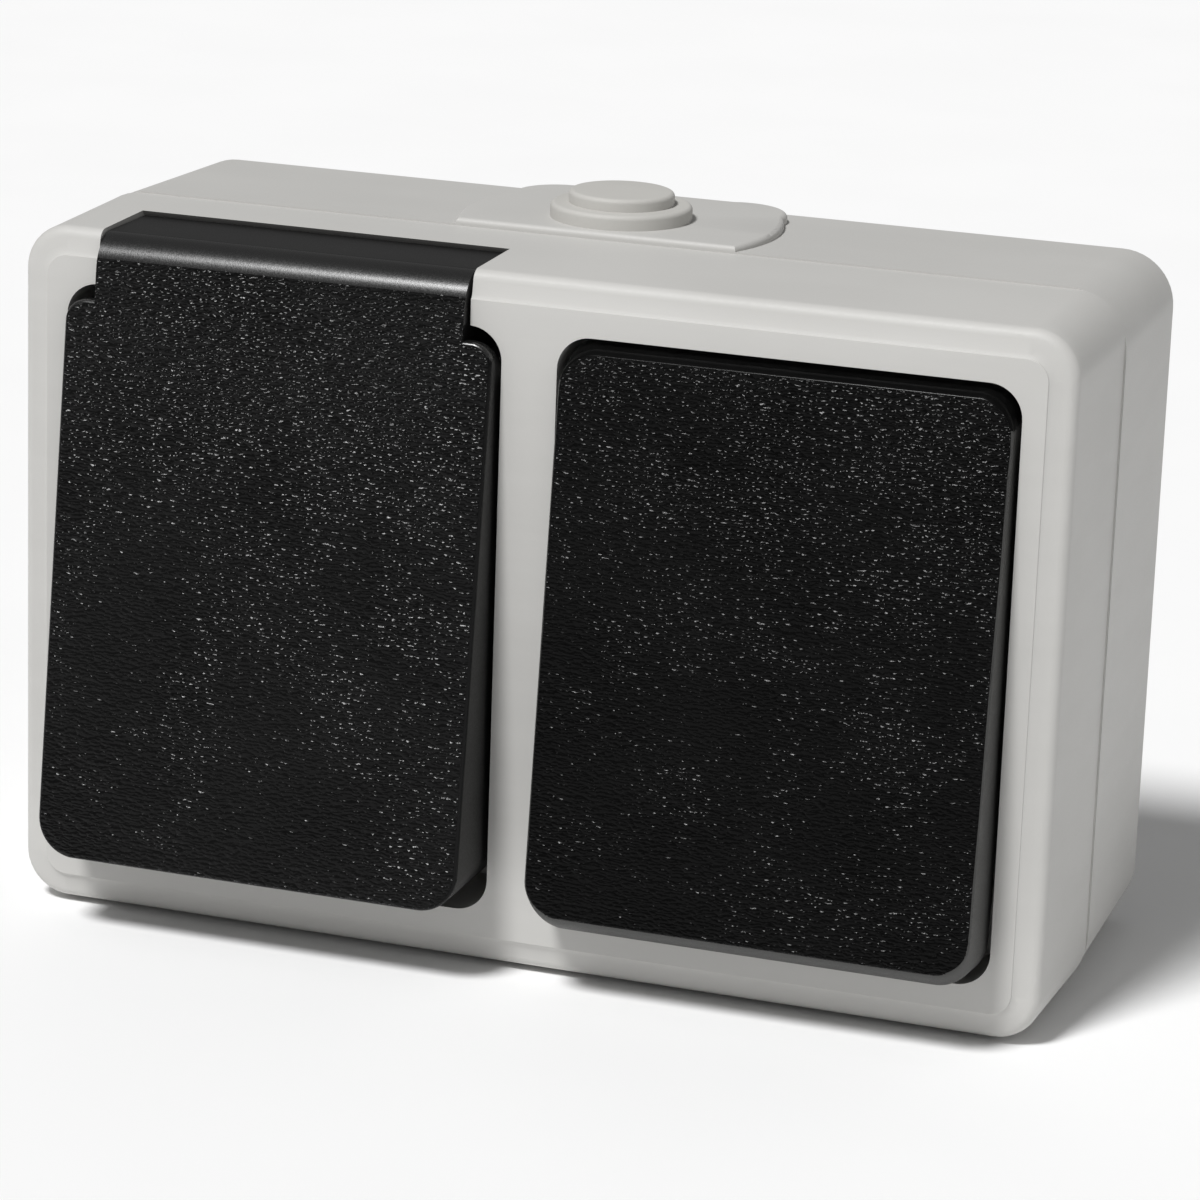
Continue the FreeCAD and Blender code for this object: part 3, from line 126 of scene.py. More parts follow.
class NodeTree:
    """A shader tree under construction, with short calls for the nodes that the finishes share."""

    def __init__(self, material: bpy.types.Material) -> None:
        """Empties the material's tree and adds its surface and output.

        Args:
            material: The material that gets the tree.
        """
        material.use_nodes = True
        self.tree = material.node_tree
        self.tree.nodes.clear()
        output = self.tree.nodes.new("ShaderNodeOutputMaterial")
        self.surface = self.tree.nodes.new("ShaderNodeBsdfPrincipled")
        self.join(self.surface.outputs["BSDF"], output.inputs["Surface"])
        self.coordinates = self.tree.nodes.new("ShaderNodeTexCoord")

    def join(self, source: Socket, target: Socket) -> None:
        """Links two sockets."""
        self.tree.links.new(source, target)

    def place(self, stretch: Triple = (1.0, 1.0, 1.0)) -> Socket:
        """Object coordinates in millimetres, stretched along the axes.

        Args:
            stretch: Factor on each axis; a smaller one draws the pattern out.

        Returns:
            The vector socket.
        """
        mapping = self.tree.nodes.new("ShaderNodeMapping")
        mapping.inputs["Scale"].default_value = tuple(s / MM for s in stretch)
        self.join(self.coordinates.outputs["Object"], mapping.inputs["Vector"])
        return mapping.outputs["Vector"]

    def component(self, vector: Socket, axis: Axis) -> Socket:
        """One component of a vector.

        Args:
            vector: The vector socket.
            axis: Which component.

        Returns:
            The value socket.
        """
        split = self.tree.nodes.new("ShaderNodeSeparateXYZ")
        self.join(vector, split.inputs[0])
        return split.outputs[axis.value]

    def along(self, axis: Axis) -> Socket:
        """Object coordinate along one axis, in millimetres."""
        return self.component(self.place(), axis)

    def facing(self, axis: Axis) -> Socket:
        """Component of the surface's own normal along one axis of the piece."""
        return self.component(self.coordinates.outputs["Normal"], axis)

    def noise(self, vector: Socket, scale: float, detail: float = 3.0, roughness: float = 0.55) -> Socket:
        """Soft noise value from 0 to 1.

        Args:
            vector: Coordinates in millimetres.
            scale: Blotches to the millimetre.
            detail: Octaves.
            roughness: Share of the finer octaves.

        Returns:
            The value socket.
        """
        node = self.tree.nodes.new("ShaderNodeTexNoise")
        node.inputs["Scale"].default_value = scale
        node.inputs["Detail"].default_value = detail
        node.inputs["Roughness"].default_value = roughness
        self.join(vector, node.inputs["Vector"])
        return node.outputs["Fac"]

    def wander(self, vector: Socket, carried: Socket, scale: float, reach: float) -> Socket:
        """Pushes coordinates about by a soft noise, so that a regular pattern wanders.

        Args:
            vector: Coordinates in millimetres that the noise follows.
            carried: Coordinates that are pushed.
            scale: Blotches of the noise to the millimetre.
            reach: How far it pushes, in millimetres.

        Returns:
            The pushed vector socket.
        """
        drift = self.tree.nodes.new("ShaderNodeTexNoise")
        drift.inputs["Scale"].default_value = scale
        drift.inputs["Detail"].default_value = 2.0
        self.join(vector, drift.inputs["Vector"])
        push = self.tree.nodes.new("ShaderNodeVectorMath")
        push.operation = "MULTIPLY_ADD"
        push.inputs[1].default_value = (reach, reach, reach)
        self.join(drift.outputs["Color"], push.inputs[0])
        self.join(carried, push.inputs[2])
        return push.outputs["Vector"]

    def cells(self, vector: Socket, scale: float, melt: float) -> Socket:
        """Distance inside rounded cells, 0 in the middle of each.

        Args:
            vector: Coordinates in millimetres.
            scale: Cells to the millimetre.
            melt: How far neighbours melt together.

        Returns:
            The value socket.
        """
        node = self.tree.nodes.new("ShaderNodeTexVoronoi")
        node.feature = "SMOOTH_F1"
        node.inputs["Scale"].default_value = scale
        node.inputs["Smoothness"].default_value = melt
        self.join(vector, node.inputs["Vector"])
        return node.outputs["Distance"]

    def remap(self, value: Socket, source: Span, result: Span) -> Socket:
        """Smoothly maps one range of a value to another, clamped at the ends.

        Args:
            value: The value to map.
            source: Range of the value.
            result: Range that it becomes.

        Returns:
            The mapped value socket.
        """
        node = self.tree.nodes.new("ShaderNodeMapRange")
        node.interpolation_type = "SMOOTHSTEP"
        node.inputs["From Min"].default_value = source[0]
        node.inputs["From Max"].default_value = source[1]
        node.inputs["To Min"].default_value = result[0]
        node.inputs["To Max"].default_value = result[1]
        self.join(value, node.inputs["Value"])
        return node.outputs["Result"]

    def math(self, kind: str, first: Socket, second: Socket | float) -> Socket:
        """One arithmetic step.

        Args:
            kind: Blender's name of the operation.
            first: First value.
            second: Second value, as a socket or a number.

        Returns:
            The result socket.
        """
        node = self.tree.nodes.new("ShaderNodeMath")
        node.operation = kind
        self.join(first, node.inputs[0])
        if isinstance(second, Socket):
            self.join(second, node.inputs[1])
        else:
            node.inputs[1].default_value = second
        return node.outputs[0]

    def times(self, first: Socket, second: Socket | float) -> Socket:
        """Product of two values."""
        return self.math("MULTIPLY", first, second)

    def tint(self, value: Socket, dark: Triple, light: Triple) -> Socket:
        """Colour between two tones.

        Args:
            value: 0 gives the first tone, 1 the second.
            dark: First tone, linear.
            light: Second tone, linear.

        Returns:
            The colour socket.
        """
        node = self.tree.nodes.new("ShaderNodeMix")
        node.data_type = "RGBA"
        factor, first, second, blend = node.inputs[0], node.inputs[6], node.inputs[7], node.outputs[2]
        first.default_value = (*dark, 1.0)
        second.default_value = (*light, 1.0)
        self.join(value, factor)
        return blend

    def relief(self, height: Socket, depth: float, strength: float = 1.0,
               below: Socket | None = None) -> Socket:
        """Bump from a height.

        Args:
            height: The height, as a share of the depth.
            depth: What a height of 1 stands for, in metres.
            strength: Share of the relief that shows.
            below: Normal of another relief under this one.

        Returns:
            The normal socket.
        """
        node = self.tree.nodes.new("ShaderNodeBump")
        node.inputs["Strength"].default_value = strength
        node.inputs["Distance"].default_value = depth
        self.join(height, node.inputs["Height"])
        if below is not None:
            self.join(below, node.inputs["Normal"])
        return node.outputs["Normal"]

    def dress(self, colour: Socket, roughness: Socket, normal: Socket) -> None:
        """Connects the three main results to the surface."""
        self.join(colour, self.surface.inputs["Base Color"])
        self.join(roughness, self.surface.inputs["Roughness"])
        self.join(normal, self.surface.inputs["Normal"])

    def gloss(self, specular: float) -> None:
        """Sets how strongly the surface reflects."""
        self.surface.inputs["Specular IOR Level"].default_value = specular


@dataclass(frozen=True)
class MouldedPlastic:
    """Satin moulded plastic or rubber: slightly cloudy, with flow marks and a fine grain over shallow pits.

    Scales are to the millimetre and depths in millimetres; the pits are given as shares of the grain's.
    """

    name: str
    dark: Triple
    light: Triple
    rough: Span
    grain: float = 5.0
    depth: float = 0.012
    specular: float = 0.5
    cloud: float = 0.035
    flow: Triple = (0.02, 0.06, 0.25)
    tones: Span = (0.32, 0.68)
    pit_scale: float = 0.22
    pit_depth: float = 1.6
    pit_share: float = 0.5
    grain_share: float = 0.8

    def make(self) -> bpy.types.Material:
        """Builds the material.

        Returns:
            The new material.
        """
        material = bpy.data.materials.new(self.name)
        tree = NodeTree(material)
        fine = tree.place()
        clouds = tree.noise(fine, self.cloud, 4.0)
        flow = tree.noise(tree.place(self.flow), 1.0, 2.0)
        patch = tree.times(tree.math("ADD", clouds, flow), 0.5)
        grain = tree.noise(fine, self.grain, 3.0, 0.65)
        pits = tree.noise(fine, self.grain * self.pit_scale, 2.0)
        pitted = tree.relief(pits, self.depth * self.pit_depth * MM, self.pit_share)
        tree.dress(
            tree.tint(tree.remap(patch, self.tones, FULL_SPAN), self.dark, self.light),
            tree.remap(grain, NOISE_SPAN, self.rough),
            tree.relief(grain, self.depth * MM, self.grain_share, pitted),
        )
        tree.gloss(self.specular)
        return material


@dataclass(frozen=True)
class PebbledPlastic:
    """Nearly black plastic whose front is moulded with a fine leather-like pebble.

    The pebbles are drawn out sideways, wander a little, are shallower in patches and rise towards the top.
    Scales are to the millimetre, depths and heights in millimetres.
    """

    name: str
    dark: Triple = (0.0026, 0.0026, 0.0026)
    light: Triple = (0.0046, 0.0046, 0.0046)
    rough: Span = (0.15, 0.23)
    specular: float = 0.13
    pebbles: float = 1.65
    stretch: Triple = (0.62, 0.62, 1.5)
    bends: float = 0.7
    bend_reach: float = 0.8
    melt: float = 0.15
    crown: float = 1.3
    depth: float = 0.36
    front: Span = (0.90, 0.95)
    patches: float = 0.09
    patch_tones: Span = (0.34, 0.66)
    patch_depth: Span = (0.72, 1.0)
    fade: Span = (6.0, 37.0)
    fade_depth: Span = (0.70, 1.08)
    satin: float = 6.0
    satin_depth: float = 0.008
    satin_share: float = 0.6
    shades: float = 0.05

    def make(self) -> bpy.types.Material:
        """Builds the material.

        Returns:
            The new material.
        """
        material = bpy.data.materials.new(self.name)
        tree = NodeTree(material)
        fine = tree.place()
        grain = tree.noise(fine, self.satin, 3.0, 0.6)
        satin = tree.relief(grain, self.satin_depth * MM, self.satin_share)
        shade = tree.remap(tree.noise(fine, self.shades), NOISE_SPAN, FULL_SPAN)
        tree.dress(
            tree.tint(shade, self.dark, self.light),
            tree.remap(grain, NOISE_SPAN, self.rough),
            tree.relief(self.pebble(tree, fine), self.depth * MM, 1.0, satin),
        )
        tree.gloss(self.specular)
        return material

    def pebble(self, tree: NodeTree, fine: Socket) -> Socket:
        """Height of the pebbles, 0 on all that doesn't face forwards.

        Args:
            tree: The material's tree.
            fine: Coordinates in millimetres.

        Returns:
            The value socket.
        """
        bent = tree.wander(fine, tree.place(self.stretch), self.bends, self.bend_reach)
        dome = tree.times(tree.math("POWER", tree.cells(bent, self.pebbles, self.melt), self.crown), -1.0)
        front = tree.remap(tree.times(tree.facing(Axis.Y), -1.0), self.front, FULL_SPAN)
        patch = tree.remap(tree.noise(fine, self.patches), self.patch_tones, self.patch_depth)
        rise = tree.remap(tree.along(Axis.Z), self.fade, self.fade_depth)
        return tree.times(tree.times(dome, tree.times(patch, rise)), front)


@dataclass(frozen=True)
class PlatedMetal:
    """Stamped or turned metal with a drawn grain and uneven tarnish.

    Scales are to the millimetre, the depth in millimetres.
    """

    name: str
    dark: Triple
    light: Triple
    rough: Span = (0.22, 0.42)
    drawn: Triple = (1.0, 0.12, 1.0)
    grain: float = 7.0
    grain_depth: float = 0.01
    grain_share: float = 0.7
    tarnish: float = 0.35
    tones: Span = (0.35, 0.65)

    def make(self) -> bpy.types.Material:
        """Builds the material.

        Returns:
            The new material.
        """
        material = bpy.data.materials.new(self.name)
        tree = NodeTree(material)
        tree.surface.inputs["Metallic"].default_value = 1.0
        grain = tree.noise(tree.place(self.drawn), self.grain, 4.0, 0.7)
        tarnish = tree.noise(tree.place(), self.tarnish)
        tree.dress(
            tree.tint(tree.remap(tarnish, self.tones, FULL_SPAN), self.dark, self.light),
            tree.remap(grain, NOISE_SPAN, self.rough),
            tree.relief(grain, self.grain_depth * MM, self.grain_share),
        )
        return material


@dataclass(frozen=True)
class Paper:
    """Matt, nearly white paper of the studio's floor.

    The scale is to the millimetre, the depth in millimetres.
    """

    name: str
    dark: Triple = (0.97, 0.97, 0.97)
    light: Triple = (0.99, 0.99, 0.99)
    rough: Span = (0.85, 0.95)
    blotches: float = 0.02
    depth: float = 0.01
    share: float = 0.2
    specular: float = 0.1

    def make(self) -> bpy.types.Material:
        """Builds the material.

        Returns:
            The new material.
        """
        material = bpy.data.materials.new(self.name)
        tree = NodeTree(material)
        paper = tree.noise(tree.place(), self.blotches, 2.0)
        tree.dress(
            tree.tint(paper, self.dark, self.light),
            tree.remap(paper, NOISE_SPAN, self.rough),
            tree.relief(paper, self.depth * MM, self.share),
        )
        tree.gloss(self.specular)
        return material


@dataclass
class Finishes:
    """All finishes of the unit, and which faces of the lid and the rocker get which of the dark ones.

    Directions are components of a face's normal, forwards or upwards.
    """

    crown_from: float = 24.0 * MM
    crown_up: Span = (0.34, 0.995)
    lid_front: float = 0.5
    rocker_front: float = 0.9
    rocker_end: float = 5.0 * MM
    made: dict[Slot, bpy.types.Material] = field(default_factory=dict)
    dark: dict[Dark, bpy.types.Material] = field(default_factory=dict)

    def build(self) -> None:
        """Makes every material once."""
        black, sheen = (0.0050, 0.0050, 0.0050), (0.0075, 0.0075, 0.0074)
        dark_recipes = {
            Dark.CROWN: MouldedPlastic(
                Dark.CROWN.value, black, sheen, (0.21, 0.31), grain=5.5, depth=0.007, specular=0.80),
            Dark.SIDE: MouldedPlastic(
                Dark.SIDE.value, black, sheen, (0.36, 0.48), grain=5.5, depth=0.007, specular=0.30),
            Dark.ROCKER: PebbledPlastic(
                Dark.ROCKER.value, (0.0015, 0.0015, 0.0015), (0.0030, 0.0030, 0.0030),
                specular=0.085, pebbles=1.75, depth=0.31, fade=(-10.0, 60.0)),
            # The skirt's grey is a painted sheen: reflected light painted into the colour of the rocker's black
            # plastic
            Dark.SKIRT_PAINTED_SHEEN: MouldedPlastic(
                Dark.SKIRT_PAINTED_SHEEN.value, (0.036, 0.036, 0.034), (0.044, 0.044, 0.042),
                (0.42, 0.54), grain=5.5, depth=0.007, specular=0.45),
        }
        recipes = {
            Slot.HOUSING: MouldedPlastic(
                Slot.HOUSING.value, (0.542, 0.535, 0.516), (0.567, 0.560, 0.541),
                (0.46, 0.60), grain=4.5, depth=0.010, specular=0.42),
            Slot.DARK: PebbledPlastic(Slot.DARK.value),
            Slot.DISH: MouldedPlastic(
                Slot.DISH.value, (0.012, 0.012, 0.012), (0.020, 0.020, 0.020), (0.30, 0.46)),
            Slot.INSULATOR: MouldedPlastic(
                Slot.INSULATOR.value, (0.60, 0.57, 0.49), (0.68, 0.65, 0.57), (0.42, 0.60)),
            Slot.ENTRY: MouldedPlastic(
                Slot.ENTRY.value, (0.520, 0.510, 0.484), (0.565, 0.555, 0.528),
                (0.52, 0.68), grain=3.6, depth=0.014, specular=0.35),
            Slot.SEAL: MouldedPlastic(
                Slot.SEAL.value, (0.014, 0.014, 0.014), (0.028, 0.027, 0.026),
                (0.55, 0.75), grain=3.0, depth=0.016, specular=0.3),
            Slot.STEEL: PlatedMetal(Slot.STEEL.value, (0.52, 0.52, 0.50), (0.66, 0.66, 0.65)),
            Slot.BRASS: PlatedMetal(
                Slot.BRASS.value, (0.60, 0.42, 0.17), (0.78, 0.60, 0.30), rough=(0.24, 0.46)),
        }
        self.dark.update((kind, recipe.make()) for kind, recipe in dark_recipes.items())
        self.made.update((slot, recipe.make()) for slot, recipe in recipes.items())
        log.info("finishes: %d", len(self.dark) + len(self.made))

    def put(self, piece: bpy.types.Object, slot: Slot) -> None:
        """Gives a piece one finish all over.

        Args:
            piece: The object to dress.
            slot: Which finish.
        """
        piece.data.materials.clear()
        piece.data.materials.append(self.made[slot])

    def dress_lid(self, piece: bpy.types.Object) -> None:
        """Keeps the lid's front pebbled, and makes its rounded upper edge glossy and all else plain satin.

        Args:
            piece: The lid.
        """
        front, crown, side = range(3)
        piece.data.materials.append(self.dark[Dark.CROWN])
        piece.data.materials.append(self.dark[Dark.SIDE])
        low, high = self.crown_up
        for face in piece.data.polygons:
            if face.center.z > self.crown_from and low < face.normal.z < high:
                face.material_index = crown
            else:
                face.material_index = front if -face.normal.y > self.lid_front else side

    def dress_rocker(self, piece: bpy.types.Object) -> None:
        """Pebbles the button's front and gives its skirt a lighter grey copy of the black plastic, a painted
        sheen, but for the dark upper end.

        Args:
            piece: The rocker's button.
        """
        front, skirt = range(2)
        piece.data.materials[front] = self.dark[Dark.ROCKER]
        piece.data.materials.append(self.dark[Dark.SKIRT_PAINTED_SHEEN])
        end_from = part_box("rocker")[1][2] - self.rocker_end
        for face in piece.data.polygons:
            # Faces that are not kept dark get the skirt's lighter grey, a painted sheen
            dark = -face.normal.y > self.rocker_front or face.center.z > end_from
            face.material_index = front if dark else skirt


class Bench:
    """Modelling steps with Blender's operators that several pieces share."""

    @staticmethod
    def clear_selection() -> None:
        """Leaves nothing selected."""
        if bpy.context.mode != "OBJECT":
            bpy.ops.object.mode_set(mode="OBJECT")
        bpy.ops.object.select_all(action="DESELECT")

    @staticmethod
    def take(piece: bpy.types.Object) -> None:
        """Selects one piece alone and makes it active."""
        Bench.clear_selection()
        piece.select_set(True)
        bpy.context.view_layer.objects.active = piece

    @staticmethod
    def settle(piece: bpy.types.Object) -> None:
        """Puts the piece's place into its mesh, so that its object sits at the origin."""
        Bench.take(piece)
        bpy.ops.object.transform_apply(location=True, rotation=True, scale=True)

    @staticmethod
    def pick_faces(piece: bpy.types.Object, test: Callable[[Vector, Vector], bool]) -> None:
        """Selects the faces that pass a test, in edit mode, and leaves edit mode on.

        Args:
            piece: The piece being shaped.
            test: Called with each face's centre and normal.
        """
        bpy.ops.object.mode_set(mode="EDIT")
        bpy.ops.mesh.select_mode(type="FACE")
        bpy.ops.mesh.select_all(action="DESELECT")
        shape = bmesh.from_edit_mesh(piece.data)
        for face in shape.faces:
            face.select_set(bool(test(face.calc_center_median(), face.normal)))
        bmesh.update_edit_mesh(piece.data)

    @staticmethod
    def smooth(piece: bpy.types.Object, degrees: float = 32.0) -> None:
        """Smooth shading with edges kept above an angle."""
        Bench.take(piece)
        bpy.ops.object.shade_smooth_by_angle(angle=math.radians(degrees), keep_sharp_edges=False)

    @staticmethod
    def merged_copy(node: str, name: str, near: float = 0.004 * MM) -> bpy.types.Object:
        """Copy of a moulding with its triangles joined up.

        Args:
            node: The moulding's node in the frame.
            name: Name of the new piece.
            near: Distance within which corners become one.

        Returns:
            The new piece.
        """
        piece = bpy.data.objects.new(name, frame["nodes"][node].data.copy())
        bpy.context.scene.collection.objects.link(piece)
        Bench.take(piece)
        bpy.ops.object.mode_set(mode="EDIT")
        bpy.ops.mesh.select_all(action="SELECT")
        bpy.ops.mesh.customdata_custom_splitnormals_clear()
        bpy.ops.mesh.remove_doubles(threshold=near)
        bpy.ops.object.mode_set(mode="OBJECT")
        return piece


@dataclass(frozen=True)
class FrameStep:
    """Low step round the front frame, with its side slanted outwards so that it catches the light softly.

    The fall is how far the sloping band outside the step drops for each millimetre outwards.
    """

    height: float = 0.35 * MM
    corner: float = 2.85 * MM
    reach: float = 0.45 * MM
    fall: float = 0.149
    near: float = 0.02 * MM

    def slant(self, cover: bpy.types.Object) -> None:
        """Moves the foot of the step outwards on the sloping band.

        Args:
            cover: The copy of the front cover.
        """
        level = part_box("front_cover")[0][1] + self.height
        foot = [v for v in cover.data.vertices if abs(v.co.y - level) < self.near]
        inner_x = max(abs(v.co.x) for v in foot) - self.corner
        inner_z = max(abs(v.co.z) for v in foot) - self.corner
        drop = Vector((0.0, self.fall * self.reach, 0.0))
        for v in foot:
            out_x = math.copysign(max(abs(v.co.x) - inner_x, 0.0), v.co.x)
            out_z = math.copysign(max(abs(v.co.z) - inner_z, 0.0), v.co.z)
            way = Vector((out_x, 0.0, out_z))
            if way.length > self.corner / 2:
                v.co += way.normalized() * self.reach + drop
        log.info("step: %d foot points", len(foot))


@dataclass
class Shells:
    """The mouldings that are seen from outside, shaded as smooth surfaces."""

    finishes: Finishes
    step: FrameStep = FrameStep()

    def build(self) -> set[str]:
        """Makes a smooth-shaded piece for each outer moulding.

        Returns:
            The nodes that now have a piece of their own.
        """
        plan = (
            ("rear_box", "rear_box_shell", Slot.HOUSING, Body.HOUSING),
            ("front_cover", "front_cover_shell", Slot.HOUSING, Body.HOUSING),
            ("lid", "lid_shell", Slot.DARK, Body.LID),
            ("lid_seal", "lid_seal_ring", Slot.SEAL, Body.LID),
            ("rocker", "rocker_button", Slot.DARK, Body.ROCKER),
            ("socket_dish", "socket_dish_shell", Slot.DISH, Body.HOUSING),
        )
        for node, name, slot, body in plan:
            piece = Bench.merged_copy(node, name)
            if node == "front_cover":
                self.step.slant(piece)
            Bench.smooth(piece)
            self.finishes.put(piece, slot)
            if node == "lid":
                self.finishes.dress_lid(piece)
            elif node == "rocker":
                self.finishes.dress_rocker(piece)
            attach(piece, body.value)
            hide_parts(node)
            log.info("shell %s", name)
        return {node for node, *_ in plan}


@dataclass
class CableSeal:
    """Stepped rubber seal of the cable entry: two soft-edged discs on a neck with a lip, hollow below."""

    finishes: Finishes
    low_radius: float = 9.0 * MM
    low_height: float = 1.9 * MM
    top_radius: float = 6.7 * MM
    top_height: float = 1.6 * MM
    neck_radius: float = 5.15 * MM
    lip_radius: float = 6.0 * MM
    lip_height: float = 1.2 * MM
    bore_radius: float = 4.0 * MM
    skin_radius: float = 3.2 * MM
    skin: float = 1.2 * MM
    soft_edge: float = 0.6 * MM
    sides: int = 96
    edge_segments: int = 6
    smooth_to: float = 40.0
    flat: float = 0.9
    near_level: float = 0.01 * MM
    near_radius: float = 0.1 * MM
    foot: float = field(init=False)
    crown: float = field(init=False)
    seat: float = field(init=False)
    axis: Span = field(init=False)

    def __post_init__(self) -> None:
        """Reads the seal's axis and levels from its node."""
        low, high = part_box("cable_grommet")
        self.foot = low[2]
        self.crown = high[2]
        self.seat = self.crown - self.top_height - self.low_height
        self.axis = ((low[0] + high[0]) / 2, (low[1] + high[1]) / 2)

    def build(self) -> str:
        """Turns the seal up from one disc, dresses it and puts it in the place of its node.

        Returns:
            The node that the seal stands for.
        """
        Bench.clear_selection()
        bpy.ops.mesh.primitive_cylinder_add(
            vertices=self.sides, radius=self.low_radius, depth=self.low_height,
            location=(*self.axis, self.seat + self.low_height / 2))
        seal = bpy.context.active_object
        seal.name = "cable_seal"
        Bench.settle(seal)
        self.raise_top(seal)
        self.draw_neck(seal)
        self.round_rims(seal)
        Bench.smooth(seal, self.smooth_to)
        self.finishes.put(seal, Slot.ENTRY)
        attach(seal, Body.HOUSING.value)
        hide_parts("cable_grommet")
        log.info("piece %s", seal.name)
        return "cable_grommet"

    def raise_top(self, seal: bpy.types.Object) -> None:
        """Draws the smaller disc up out of the larger one."""
        Bench.pick_faces(seal, lambda centre, normal: normal.z > self.flat)
        bpy.ops.mesh.inset(thickness=self.low_radius - self.top_radius)
        self.extrude(self.top_height)
        bpy.ops.object.mode_set(mode="OBJECT")

    def draw_neck(self, seal: bpy.types.Object) -> None:
        """Draws the neck, the retaining lip and the hollow out of the underside."""
        Bench.pick_faces(seal, lambda centre, normal: normal.z < -self.flat)
        bpy.ops.mesh.inset(thickness=self.low_radius - self.neck_radius)
        self.extrude(self.foot + self.lip_height - self.seat)
        self.widen(seal, self.lip_radius / self.neck_radius, 0.0)
        self.extrude(-self.lip_height)
        bpy.ops.mesh.inset(thickness=self.lip_radius - self.bore_radius)
        self.widen(seal, self.skin_radius / self.bore_radius, self.crown - self.skin - self.foot)
        bpy.ops.object.mode_set(mode="OBJECT")

    def extrude(self, rise: float) -> None:
        """Extrudes the picked face upwards, or downwards where the rise is negative."""
        bpy.ops.mesh.extrude_region_move(TRANSFORM_OT_translate={"value": (0.0, 0.0, rise)})

    def widen(self, seal: bpy.types.Object, factor: float, rise: float) -> None:
        """Extrudes the picked face by a rise and scales its end about the seal's axis.

        Args:
            seal: The seal, in edit mode with one face picked.
            factor: Scale of the new end.
            rise: How far it moves up.
        """
        self.extrude(rise)
        shape = bmesh.from_edit_mesh(seal.data)
        centre = next(face for face in shape.faces if face.select).calc_center_median()
        bpy.ops.transform.resize(value=(factor, factor, 1.0), center_override=tuple(centre))

    def on_rim(self, corner: Vector) -> bool:
        """Whether a corner of the mesh lies on the upper rim of one of the two discs."""
        radius = math.hypot(corner.x - self.axis[0], corner.y - self.axis[1])
        rims = ((self.crown, self.top_radius), (self.crown - self.top_height, self.low_radius))
        return any(
            abs(corner.z - level) < self.near_level and abs(radius - rim) < self.near_radius
            for level, rim in rims)

    def round_rims(self, seal: bpy.types.Object) -> None:
        """Rounds the upper rims of both discs."""
        Bench.take(seal)
        bpy.ops.object.mode_set(mode="EDIT")
        bpy.ops.mesh.select_mode(type="EDGE")
        bpy.ops.mesh.select_all(action="DESELECT")
        shape = bmesh.from_edit_mesh(seal.data)
        for edge in shape.edges:
            edge.select_set(all(self.on_rim(corner.co) for corner in edge.verts))
        bmesh.update_edit_mesh(seal.data)
        bpy.ops.mesh.bevel(offset=self.soft_edge, segments=self.edge_segments, profile=0.5, affect="EDGES")
        bpy.ops.object.mode_set(mode="OBJECT")


@dataclass
class Works:
    """Everything inside the housing, left as it is and given its finish."""

    finishes: Finishes

    def dress(self, done: set[str]) -> None:
        """Gives each remaining node the finish of its slot.

        Args:
            done: Nodes that already have a piece of their own.
        """
        for entry in frame["record"]["subparts"]:
            node = entry["node"]
            if node not in done:
                self.finishes.put(frame["nodes"][node], Slot(entry["material_slot"]))
                log.info("dressed %s", node)


@dataclass(frozen=True)
class Lamp:
    """A far, soft lamp: power, spread in degrees, and the place that it shines from."""

    name: str
    power: float
    spread: float
    place: Triple


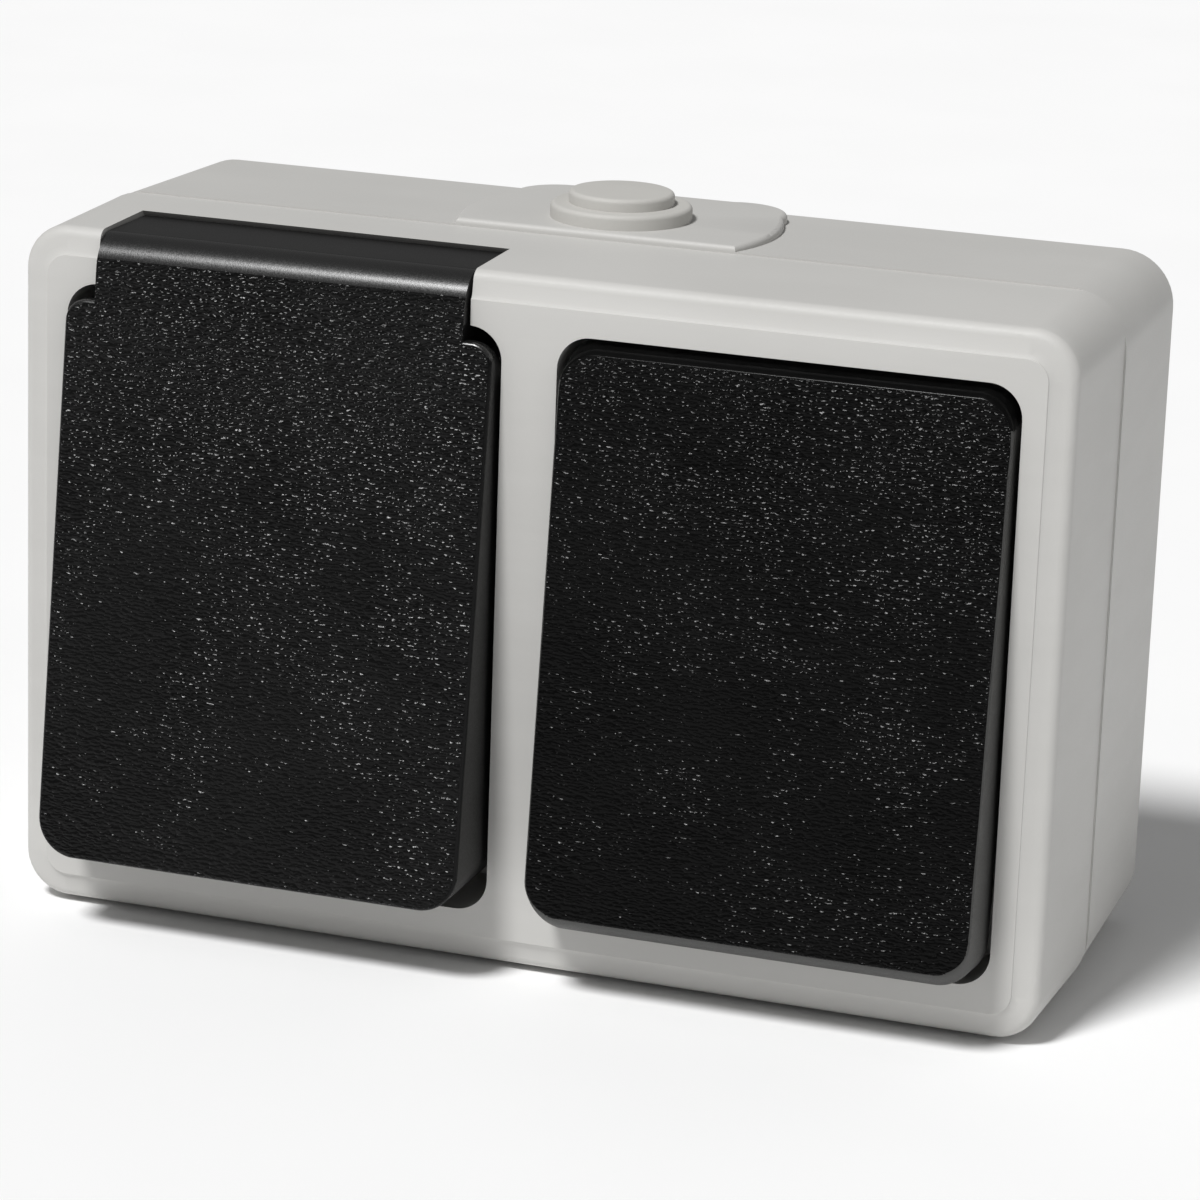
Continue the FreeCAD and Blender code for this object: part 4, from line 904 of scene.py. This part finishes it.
@dataclass
class Studio:
    """Pale floor, even surroundings, two soft lamps and the camera."""

    yaw: float = 18.58
    pitch: float = 16.03
    roll: float = 2.0
    lens: float = 141.24
    sensor: float = 36.0
    near_clip: float = 0.01
    distance: float = 0.5773
    shift_right: float = 0.00967
    shift_up: float = 0.00364
    front_y: float = -0.0517
    floor_size: float = 6.0
    floor_gap: float = 0.05 * MM
    surround: float = 0.20
    key: Lamp = Lamp("key_light", 2.90, 13.0, (-0.375, -1.08, 1.68))
    side: Lamp = Lamp("side_light", 0.12, 30.0, (1.6, -0.5, 0.6))

    def build(self) -> None:
        """Adds the floor, the world, the lamps and the camera."""
        self.add_floor()
        self.set_world()
        for lamp in (self.key, self.side):
            self.hang(lamp)
        self.add_camera()
        bpy.context.scene.view_settings.view_transform = "Standard"

    def add_floor(self) -> None:
        """Pale floor just under the housing's lowest edge."""
        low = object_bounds()[0][2]
        Bench.clear_selection()
        bpy.ops.mesh.primitive_plane_add(size=self.floor_size, location=(0.0, 0.0, low - self.floor_gap))
        floor = bpy.context.active_object
        floor.name = "studio_floor"
        floor.data.materials.append(Paper("studio_floor").make())
        floor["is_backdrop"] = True

    def set_world(self) -> None:
        """Even pale surroundings that light the unit from all round."""
        world = bpy.data.worlds.new("studio_world")
        bpy.context.scene.world = world
        world.use_nodes = True
        sky = world.node_tree.nodes["Background"]
        sky.inputs["Color"].default_value = (1.0, 1.0, 1.0, 1.0)
        sky.inputs["Strength"].default_value = self.surround

    def hang(self, lamp: Lamp) -> None:
        """Hangs a lamp and aims it at the middle of the unit.

        Args:
            lamp: The lamp's settings.
        """
        light = bpy.data.lights.new(lamp.name, "SUN")
        light.energy = lamp.power
        light.angle = math.radians(lamp.spread)
        hung = bpy.data.objects.new(lamp.name, light)
        hung.location = lamp.place
        aim = Vector((0.0, self.front_y, 0.0)) - Vector(lamp.place)
        hung.rotation_euler = aim.to_track_quat("-Z", "Y").to_euler()
        bpy.context.scene.collection.objects.link(hung)

    def add_camera(self) -> None:
        """Camera at the viewing angle of the original picture."""
        turn = (
            Matrix.Rotation(math.radians(self.yaw), 3, "Z")
            @ Matrix.Rotation(math.radians(90.0 - self.pitch), 3, "X")
            @ Matrix.Rotation(math.radians(self.roll), 3, "Z")
        )
        right, up, back = turn.col
        place = back * self.distance + right * self.shift_right + up * self.shift_up
        place.y += self.front_y
        lens = bpy.data.cameras.new("camera")
        lens.lens = self.lens
        lens.sensor_width = self.sensor
        lens.clip_start = self.near_clip
        camera = bpy.data.objects.new("camera", lens)
        camera.matrix_world = Matrix.Translation(place) @ turn.to_4x4()
        bpy.context.scene.collection.objects.link(camera)
        bpy.context.scene.camera = camera


def main() -> None:
    """Builds the finishes, the shells, the cable seal, the works and the studio, in that order."""
    logging.basicConfig(level=logging.INFO, format="%(name)s: %(message)s")
    finishes = Finishes()
    finishes.build()
    done = Shells(finishes).build()
    done.add(CableSeal(finishes).build())
    Works(finishes).dress(done)
    Studio().build()


if __name__ == "__main__":
    main()
